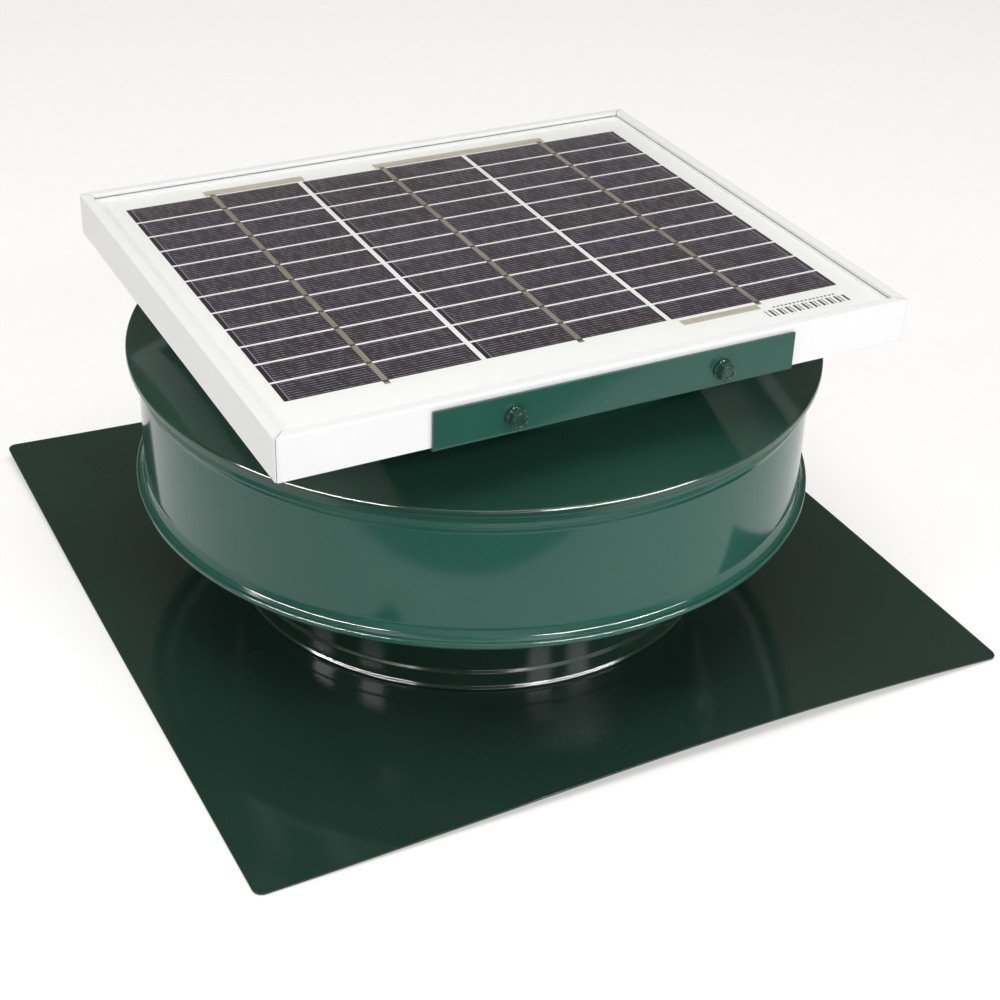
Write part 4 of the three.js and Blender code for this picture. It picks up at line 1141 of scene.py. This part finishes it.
def add_strap(aluminium, zinc):
    sheet = 2 * MM
    ear = high("motor_strap").x - sheet / 2
    z = low("motor_strap").z + sheet / 2
    top = high("motor_strap").z
    width = high("motor_strap").y - low("motor_strap").y
    screw_z = middle("strap_screw_1").z
    mesh = folded([(-ear, top), (-ear, z), (ear, z), (ear, top)], sheet, width, ALONG_Y, 3 * MM)
    holes = [(Vector((0, 0, z)), (0, 0, 1), 9 * MM, 8 * MM)] + motor_screw_holes(z, 8 * MM)
    holes += [(Vector((side * ear, 0, screw_z)), (1, 0, 0), 2.3 * MM, 8 * MM) for side in (-1, 1)]
    add_piece("strap", drilled(mesh, holes), aluminium, ["motor_strap"])
    seat = high("strap_screw_1").x - head_height(WASHER_SCREW)
    for i, side in ((1, 1), (2, -1)):
        place = towards(Vector((side * seat, 0, screw_z)), (side, 0, 0)) @ around(0.5 * i)
        add_fastener(f"strap_hex_screw_{i}", hex_screw(WASHER_SCREW, 9), f"strap_screw_{i}", place, zinc)


def pan_screw(head_r, head, shank_r, length):
    """Pan head screw with a cross recess, head above z = 0; sizes in millimetres."""
    side = head_r * 0.55
    dome = [(shank_r * 0.92, 0), (head_r - 0.1, 0), (head_r, 0.1), (head_r, head * 0.4)]
    for turn in [i / 4 * math.pi / 2 for i in range(1, 5)]:
        dome.append((side + (head_r - side) * math.cos(turn), head * (0.4 + 0.6 * math.sin(turn))))
    dome.append((0, head))

    def profile(angle):
        points = [(0, -length)] + thread(angle, shank_r, 0.5, length) + dome
        return [(r * MM, z * MM) for r, z in points]

    mesh = turned(profile, 32)
    half = head_r * 0.62 * MM
    thick = head_r * 0.12 * MM
    arm = [(-half, -thick), (half, -thick), (half, thick), (-half, thick)]
    for turn in (0, math.pi / 2):
        place = around(turn) @ Matrix.Translation((0, 0, head * MM))
        mesh = combined(mesh, prism(arm, head * MM, place))
    return mesh


def add_can(steel):
    inner = CAN_R - CAN_WALL
    floor = 1.5
    pocket = 8.3
    groove = CAN_HEIGHT - 6
    corners = [
        (5, 0, 0.3), (CAN_R, 0, 2), (CAN_R, groove - 1, 0.6), (CAN_R - 0.35, groove, 0.6),
        (CAN_R, groove + 1, 0.6), (CAN_R, CAN_HEIGHT, 0.3), (inner, CAN_HEIGHT, 0.3), (inner, floor, 1),
        (pocket + 2, floor, 0.4), (pocket + 2, floor + 4.6, 0.5), (pocket, floor + 4.6, 0.3),
        (pocket, floor, 0.2), (5, floor, 0.3),
    ]
    can = drilled(turned(section(corners, CAN_FOOT), 72), motor_screw_holes(CAN_FOOT, 8 * MM))
    add_piece("can", can, steel, ["motor_can"])


def add_end_cap(plastic):
    base = CAN_HEIGHT + GAP / MM
    spigot = CAN_R - CAN_WALL - 0.4
    pocket = 6.3
    corners = [
        (pocket, base + 3.7, 0.2), (pocket, base - 1.8, 0.3), (pocket + 2, base - 1.8, 0.3),
        (pocket + 2, base - 0.3, 0.3), (spigot - 2, base - 0.3, 0.4), (spigot - 2, base - 4.3, 0.4),
        (spigot, base - 4.3, 0.4), (spigot, base, 0.1), (CAN_R, base, 0.3), (CAN_R, base + 2, 0.9),
        (pocket + 3, base + 2, 0.8), (pocket + 2.4, base + 5.7, 1.2),
    ]
    under = (0, (base + 3.7) * MM + CAN_FOOT)
    top = (0, (base + 5.7) * MM + CAN_FOOT)
    cable = Vector((0, LEAD_END_Y, base * MM + CAN_FOOT))
    holes = [(cable, (0, 0, 1), LEAD_R + 0.4 * MM, 12 * MM)]
    cap = drilled(turned([under] + section(corners, CAN_FOOT) + [top], 72), holes)
    add_piece("end_cap", cap, plastic, ["motor_end_cap"])


def add_motor_screws(zinc):
    for i in (1, 2):
        place = middle(f"motor_screw_{i}")
        place.z = low(f"motor_screw_{i}").z + 2 * MM
        seat = towards(place, (0, 0, -1)) @ around(0.6 * i)
        add_fastener(f"pan_screw_{i}", pan_screw(2.8, 2.0, 1.5, 7), f"motor_screw_{i}", seat, zinc)


def ball_bearing(node_name):
    """Shielded bearing: two rings with a shield set in between them on each face."""
    outer = high(node_name).x / MM
    height = (high(node_name).z - low(node_name).z) / MM
    bore = 2.8
    inner_land = bore + 1.1
    outer_land = outer - 1.0
    lower = [
        (bore, 0, 0.2), (inner_land, 0, 0.1), (inner_land, 0.3, 0),
        (outer_land, 0.3, 0), (outer_land, 0, 0.1), (outer, 0, 0.3),
    ]
    upper = [(r, height - z, ease) for r, z, ease in lower[::-1]]
    return turned(section(lower + upper, low(node_name).z), SMALL_ROUND)


def arc_points(radius, start, end, steps=24):
    angles = [start + (end - start) * i / steps for i in range(steps + 1)]
    return [Vector((radius * math.cos(angle), radius * math.sin(angle))) for angle in angles]


def stacked(outline, node_name, turn=UPRIGHT):
    """Upright prism of an outline, as low and as high as a CAD node."""
    depth = high(node_name).z - low(node_name).z
    return prism(outline, depth, turn @ Matrix.Translation((0, 0, middle(node_name).z)))


def add_motor_inside(zinc, ferrite, carbon):
    for end in ("front", "rear"):
        node_name = f"bearing_{end}"
        add_piece(f"{end}_bearing", ball_bearing(node_name), zinc, [node_name])
    span = math.radians(62)
    outline = arc_points((CAN_R - 1.8) * MM, -span, span) + arc_points(16 * MM, span, -span)
    for i, turn in ((1, math.pi / 2), (2, -math.pi / 2)):
        magnet = bevelled(stacked(outline, "motor_magnet_1", around(turn)), 0.4 * MM, 2, 50)
        add_piece(f"magnet_{i}", magnet, ferrite, [f"motor_magnet_{i}"])
        brush = refined(f"motor_brush_{i}", 0.25 * MM)
        add_piece(f"brush_{i}", brush, carbon, [f"motor_brush_{i}"])


# ---- Rotor: shaft, armature, commutator, fan wheel and hub ----

FAN_R = high("fan_wheel").x
FAN_Z = middle("fan_wheel").z
FAN_SHEET = 1.5 * MM
FAN_DISC_R = 30 * MM
BLADES = 6


def smooth_step(value):
    t = min(max(value, 0.0), 1.0)
    return t * t * (3 - 2 * t)


def blade_mesh(turn):
    """Blade pressed from sheet: flat at the disc, twisted to its pitch, cambered, round at its corners."""
    across = 16
    outward = 18
    root_r = FAN_DISC_R - 6 * MM
    row = across + 1
    layer = row * (outward + 1)
    points = []
    for side in (1, -1):
        for i in range(outward + 1):
            share = i / outward
            chord = (26 + 50 * math.sqrt(share)) * MM
            for j in range(row):
                t = 2 * j / across - 1
                r = root_r + (FAN_R - 7 * MM * abs(t) ** 5 - root_r) * share
                twist = smooth_step((r - FAN_DISC_R + 2 * MM) / (22 * MM))
                pitch = math.radians(20.5) * twist
                s = t * chord / 2
                angle = turn + s * math.cos(pitch) / r
                z = FAN_Z - s * math.sin(pitch) + 2.2 * MM * twist * (1 - t * t) + side * FAN_SHEET / 2
                points.append((r * math.cos(angle), r * math.sin(angle), z))
    border = list(range(row))
    border += [i * row + across for i in range(1, outward + 1)]
    border += [outward * row + j for j in range(across - 1, -1, -1)]
    border += [i * row for i in range(outward - 1, 0, -1)]
    faces = []
    for i in range(outward):
        for j in range(across):
            a = i * row + j
            faces.append([a, a + row, a + row + 1, a + 1])
            faces.append([layer + a, layer + a + 1, layer + a + row + 1, layer + a + row])
    for k, here in enumerate(border):
        following = border[(k + 1) % len(border)]
        faces.append([here, following, layer + following, layer + here])
    return bevelled(mesh_from(points, faces), 0.3 * MM, 2, 50)


def add_fan(aluminium):
    half = FAN_SHEET / 2
    outline = [(0, FAN_Z - half), (FAN_DISC_R, FAN_Z - half), (FAN_DISC_R, FAN_Z + half), (0, FAN_Z + half)]
    wheel = turned(outline, 96)
    for turn in even_angles(BLADES):
        wheel = combined(wheel, blade_mesh(turn), "UNION")
    wheel = drilled(wheel, [(Vector((0, 0, FAN_Z)), (0, 0, 1), 6.3 * MM, 8 * MM)])
    add_piece("fan", wheel, aluminium, ["fan_wheel"], "rotor", sharp=40)


def add_hub(aluminium):
    """Flanged hub with the wheel over its lower collar, drilled for the set screw."""
    under = low("fan_hub").z
    top = (high("fan_hub").z - under) / MM
    seat = (FAN_Z + FAN_SHEET / 2 + GAP - under) / MM
    corners = [
        (2.8, 0, 0.2), (7.4, 0, 0.6), (7.8, 2, 0.2), (6, 2, 0.05), (6, seat, 0.05), (14, seat, 0.3),
        (14, seat + 2, 0.4), (8, seat + 2, 0.8), (8, top, 0.8), (2.8, top, 0.2),
    ]
    holes = [(middle("hub_set_screw"), (1, 0, 0), 2.2 * MM, 8 * MM)]
    hub = drilled(turned(section(corners, under), SMALL_ROUND), holes)
    add_piece("hub", hub, aluminium, ["fan_hub"], "rotor")


def add_grub_screw(steel):
    screw = refined("hub_set_screw", 0.15 * MM)
    add_piece("grub_screw", screw, steel, ["hub_set_screw"], "rotor")


def armature_outline():
    """Five T-shaped poles round a core."""
    core_half = math.asin(1 / 3)
    neck_half = math.asin(0.16)
    shoe = math.radians(28)
    points = []
    for turn in even_angles(5):
        for r, angle in ((6, -core_half), (12.5, -neck_half)):
            points += arc_points(r * MM, turn + angle, turn + angle, 1)[:1]
        points += arc_points(12.5 * MM, turn - neck_half, turn - shoe, 1)[1:]
        points += arc_points(15.2 * MM, turn - shoe, turn + shoe, 12)
        points += arc_points(12.5 * MM, turn + shoe, turn + neck_half, 1)
        points += arc_points(6 * MM, turn + core_half, turn + core_half, 1)[:1]
    return points


def add_shaft(zinc):
    bottom = low("motor_shaft").z
    top = high("motor_shaft").z
    chamfer = 0.6 * MM
    radius = high("motor_shaft").x
    outline = [(0, bottom), (radius - chamfer, bottom), (radius, bottom + chamfer), (radius, top - chamfer)]
    outline += [(radius - chamfer, top), (0, top)]
    add_piece("shaft", turned(outline, 32), zinc, ["motor_shaft"], "rotor")


def add_armature(steel):
    place = Vector((0, 0, low("armature").z))
    length = 3 * (high("armature").z - place.z)
    stack = bevelled(stacked(armature_outline(), "armature"), 0.15 * MM, 1, 40)
    stack = drilled(stack, [(place, (0, 0, 1), 2.8 * MM, length)])
    add_piece("laminations", stack, steel, ["armature"], "rotor")


def add_commutator(copper):
    under = low("commutator").z
    height = (high("commutator").z - under) / MM
    corners = [(2.8, 0, 0.2), (5.4, 0, 0.3), (5.4, height, 0.3), (2.8, height, 0.2)]
    ring = turned(section(corners, under), 60)
    slot = [Vector(corner) * MM for corner in ((4.7, -0.2), (6, -0.2), (6, 0.2), (4.7, 0.2))]
    for turn in even_angles(5):
        place = around(turn) @ Matrix.Translation((0, 0, under))
        ring = combined(ring, prism(slot, 12 * MM, place))
    add_piece("segments", ring, copper, ["commutator"], "rotor")


# ---- Wiring: junction box, gland, lead and grommet ----

LEAD_R = high("lead_cable").x
LEAD_END_Y = 12.5 * MM
GLAND_Z = middle("cable_gland").z
GROMMET_Y = middle("cap_grommet").y


def lead_route():
    """Points of the lead's middle in its own plane, from the junction box down to the motor."""
    bend = 8 * MM
    start = high("lead_cable").y
    points = [(start, GLAND_Z), (GROMMET_Y + 3 * bend, GLAND_Z)]
    for i in range(5):
        angle = math.pi / 2 * (1 + i / 4)
        centre_y = GROMMET_Y + bend
        points.append((centre_y + bend * math.cos(angle), GLAND_Z - bend + bend * math.sin(angle)))
    end_z = low("lead_cable").z
    points += [(GROMMET_Y, CAP_TOP - 18 * MM), (LEAD_END_Y - 1.6 * MM, end_z + 22 * MM)]
    points += [(LEAD_END_Y, end_z + 11 * MM), (LEAD_END_Y, end_z)]
    return [Vector((0, y, z)) for y, z in points]


def smooth_route(points, steps=6):
    """Points of a Catmull-Rom curve through the given ones."""
    ends = [points[0] * 2 - points[1]] + points + [points[-1] * 2 - points[-2]]
    route = []
    for i in range(1, len(ends) - 2):
        before, here, after, beyond = ends[i - 1], ends[i], ends[i + 1], ends[i + 2]
        reach = (after - here).length
        leave = (after - before).normalized() * reach
        arrive = (beyond - here).normalized() * reach
        for step in range(steps):
            t = step / steps
            bend = here * (2 * t**3 - 3 * t**2 + 1) + leave * (t**3 - 2 * t**2 + t)
            route.append(bend + after * (3 * t**2 - 2 * t**3) + arrive * (t**3 - t**2))
    return route + [points[-1]]


def tube(route, radius, sides=20):
    """Closed tube along a route that lies in the plane x = 0."""
    across = Vector((1, 0, 0))
    points = []
    for i, point in enumerate(route):
        along = (route[min(i + 1, len(route) - 1)] - route[max(i - 1, 0)]).normalized()
        up = across.cross(along)
        for k in range(sides):
            angle = math.tau * k / sides
            points.append(point + (across * math.cos(angle) + up * math.sin(angle)) * radius)
    faces = [list(range(sides)), list(range(len(points) - sides, len(points)))[::-1]]
    for i in range(len(route) - 1):
        for k in range(sides):
            following = (k + 1) % sides
            here = i * sides
            faces.append([here + k, here + sides + k, here + sides + following, here + following])
    return mesh_from(points, faces)


def add_lead(jacket):
    """The motor's lead, held by the gland, the grommet and the motor's end cap all along its way."""
    mesh = tube(smooth_route(lead_route()), LEAD_R)
    add_piece("lead", mesh, jacket, ["lead_cable"])


def box_plate(node_name, ease):
    box_low, box_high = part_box(node_name)
    return plate(box_low.x, box_high.x, box_low.y, box_high.y, box_low.z, box_high.z, ease)


def sunk(mesh, node_name, inset, z0, z1, ease):
    """The mesh with a pocket whose sides are inset from a CAD node's."""
    box_low, box_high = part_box(node_name)
    x0, x1 = box_low.x + inset, box_high.x - inset
    return combined(mesh, plate(x0, x1, box_low.y + inset, box_high.y - inset, z0, z1, ease))


def add_junction_box(plastic):
    wall = 2 * MM
    ease = 0.8 * MM
    box_low, box_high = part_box("junction_box")
    shell = box_plate("junction_box", ease)
    shell = sunk(shell, "junction_box", wall, box_low.z - 2 * MM, box_high.z - wall, ease)
    shell = drilled(shell, [(Vector((0, box_low.y, GLAND_Z)), (0, 1, 0), LEAD_R + GAP, 8 * MM)])
    add_piece("box", shell, plastic, ["junction_box"])
    under = low("junction_lid").z
    lid = sunk(box_plate("junction_lid", ease), "junction_lid", 3 * MM, under - MM, under + 0.4 * MM, ease)
    add_piece("box_lid", lid, plastic, ["junction_lid"])


def add_gland(plastic):
    """Cable gland with a fluted nut against the box and a domed nose."""
    r = high("cable_gland").x / MM
    length = (high("cable_gland").y - low("cable_gland").y) / MM
    bore = LEAD_R / MM + 0.3

    def profile(angle):
        nut = r - 0.25 * (0.5 - 0.5 * math.cos(12 * angle))
        corners = [
            (bore, 0, 0.1), (nut, 0, 0.3), (nut, 3, 0.4), (r - 0.8, 3.6, 0.2),
            (r - 0.8, length - 1.6, 0.8), (bore + 0.3, length, 0.4), (bore, length - 0.4, 0.1),
        ]
        return section(corners)

    place = towards(Vector((0, high("cable_gland").y, GLAND_Z)), (0, -1, 0))
    add_piece("gland", turned(profile, 96), plastic, ["cable_gland"], place=place)


def add_grommet(rubber):
    under = low("cap_grommet").z
    height = (high("cap_grommet").z - under) / MM
    lower = [(4, 0, 0.5), (8, 0, 0.8), (8, 1.2, 0.2), (6, 1.2, 0.2)]
    upper = [(r, height - z, ease) for r, z, ease in lower[::-1]]
    mesh = turned(section(lower + upper, under), SMALL_ROUND)
    place = Matrix.Translation((0, GROMMET_Y, 0))
    add_piece("grommet", mesh, rubber, ["cap_grommet"], place=place)


# ---- Scene ----


def add_floor():
    """Plain pale floor, large enough to fill the camera's view, lit a little from below as a table is."""
    half = 7.0
    mesh = prism(rectangle(-half, half, -half, half, 1, 4), 0.02, Matrix.Translation((0, 0, -0.0102)))
    floor = loose_object("floor", mesh)
    table = moulded("floor", (0.54, 0.54, 0.54), (0.56, 0.56, 0.56), 0.7, 300, 0.05)
    plug(table.node_tree.nodes["Principled BSDF"], Emission_Color=(1, 1, 1), Emission_Strength=0.42)
    floor.data.materials.append(table)


def make_materials():
    return {
        # One green enamel in three copies whose tones are painted light and shade: the darkest for the
        # shaded flange and throat, the middle one for the cap under the panel and the panel screws, the
        # lightest for the lit band and bracket.
        "green_painted_deep_shade": gloss_paint("green_enamel_painted_deep_shade", (0.0115, 0.031, 0.023), (0.0135, 0.036, 0.027)),
        "green_painted_shade": gloss_paint("green_enamel_painted_shade", (0.013, 0.048, 0.034), (0.016, 0.054, 0.038)),
        "green_painted_light": gloss_paint("green_enamel_painted_light", (0.016, 0.077, 0.058), (0.019, 0.084, 0.063), 1.40),
        "white": powder_coat("white_frame", (0.75, 0.76, 0.78), (0.79, 0.80, 0.81)),
        "glass": clear_glass("panel_glass"),
        "silicon": silicon_cell("solar_cells"),
        "back_sheet": moulded("back_sheet", (0.936, 0.933, 0.928), (0.942, 0.939, 0.934), 0.5, 900, 0.001),
        "tin": tinned_ribbon("tinned_ribbon"),
        "tape": strip_tape("bus_strip"),
        "ink": moulded("label_ink", (0.05, 0.05, 0.05), (0.09, 0.09, 0.085), 0.6),
        "aluminium": bare_metal("bare_aluminium", (0.56, 0.57, 0.58), (0.70, 0.71, 0.72), 0.34),
        "zinc": bare_metal("zinc_steel", (0.50, 0.51, 0.52), (0.66, 0.67, 0.67), 0.30, (1, 1, 0.3)),
        "wire": bare_metal("screen_wire", (0.42, 0.43, 0.44), (0.60, 0.61, 0.61), 0.42, (1, 1, 1), 0.3),
        "motor_steel": bare_metal("motor_steel", (0.20, 0.205, 0.21), (0.30, 0.30, 0.31), 0.42),
        "copper": bare_metal("copper", (0.62, 0.29, 0.16), (0.80, 0.42, 0.25), 0.30),
        "plastic": moulded("black_plastic", (0.014, 0.014, 0.015), (0.022, 0.022, 0.023), 0.42),
        "rubber": moulded("black_rubber", (0.012, 0.012, 0.012), (0.02, 0.02, 0.019), 0.75, 1200),
        "jacket": moulded("cable_jacket", (0.016, 0.016, 0.017), (0.024, 0.024, 0.025), 0.5, 900),
        "ferrite": moulded("ferrite", (0.03, 0.03, 0.033), (0.05, 0.05, 0.053), 0.6, 1400),
        "carbon": moulded("carbon", (0.018, 0.018, 0.018), (0.03, 0.03, 0.03), 0.5, 2200),
    }


add_camera()
add_lights()
add_flag()
add_floor()
paints = make_materials()
# The green pieces take the enamel copies whose tones are painted shade and painted light.
add_flange(paints["green_painted_deep_shade"])
add_throat(paints["green_painted_deep_shade"])
add_wind_band(paints["green_painted_light"])
add_cap(paints["green_painted_shade"])
add_bracket(paints["green_painted_light"])
add_panel_screws(paints["green_painted_shade"])
add_frame(paints["white"])
add_glass(paints["glass"])
add_back_sheet(paints["back_sheet"])
add_cells(paints["silicon"])
add_ribbons(paints["tin"])
add_bus_strips(paints["tape"])
add_label(paints["ink"])
add_legs(paints["aluminium"], paints["zinc"])
add_screen(paints["wire"])
add_strap(paints["aluminium"], paints["zinc"])
add_can(paints["motor_steel"])
add_end_cap(paints["plastic"])
add_motor_screws(paints["zinc"])
add_motor_inside(paints["zinc"], paints["ferrite"], paints["carbon"])
add_fan(paints["aluminium"])
add_hub(paints["aluminium"])
add_shaft(paints["zinc"])
add_armature(paints["motor_steel"])
add_commutator(paints["copper"])
add_grub_screw(paints["motor_steel"])
add_junction_box(paints["plastic"])
add_gland(paints["plastic"])
add_grommet(paints["rubber"])
add_lead(paints["jacket"])
add_rim_lights(["throat", "wind_band_shell", "cap"])
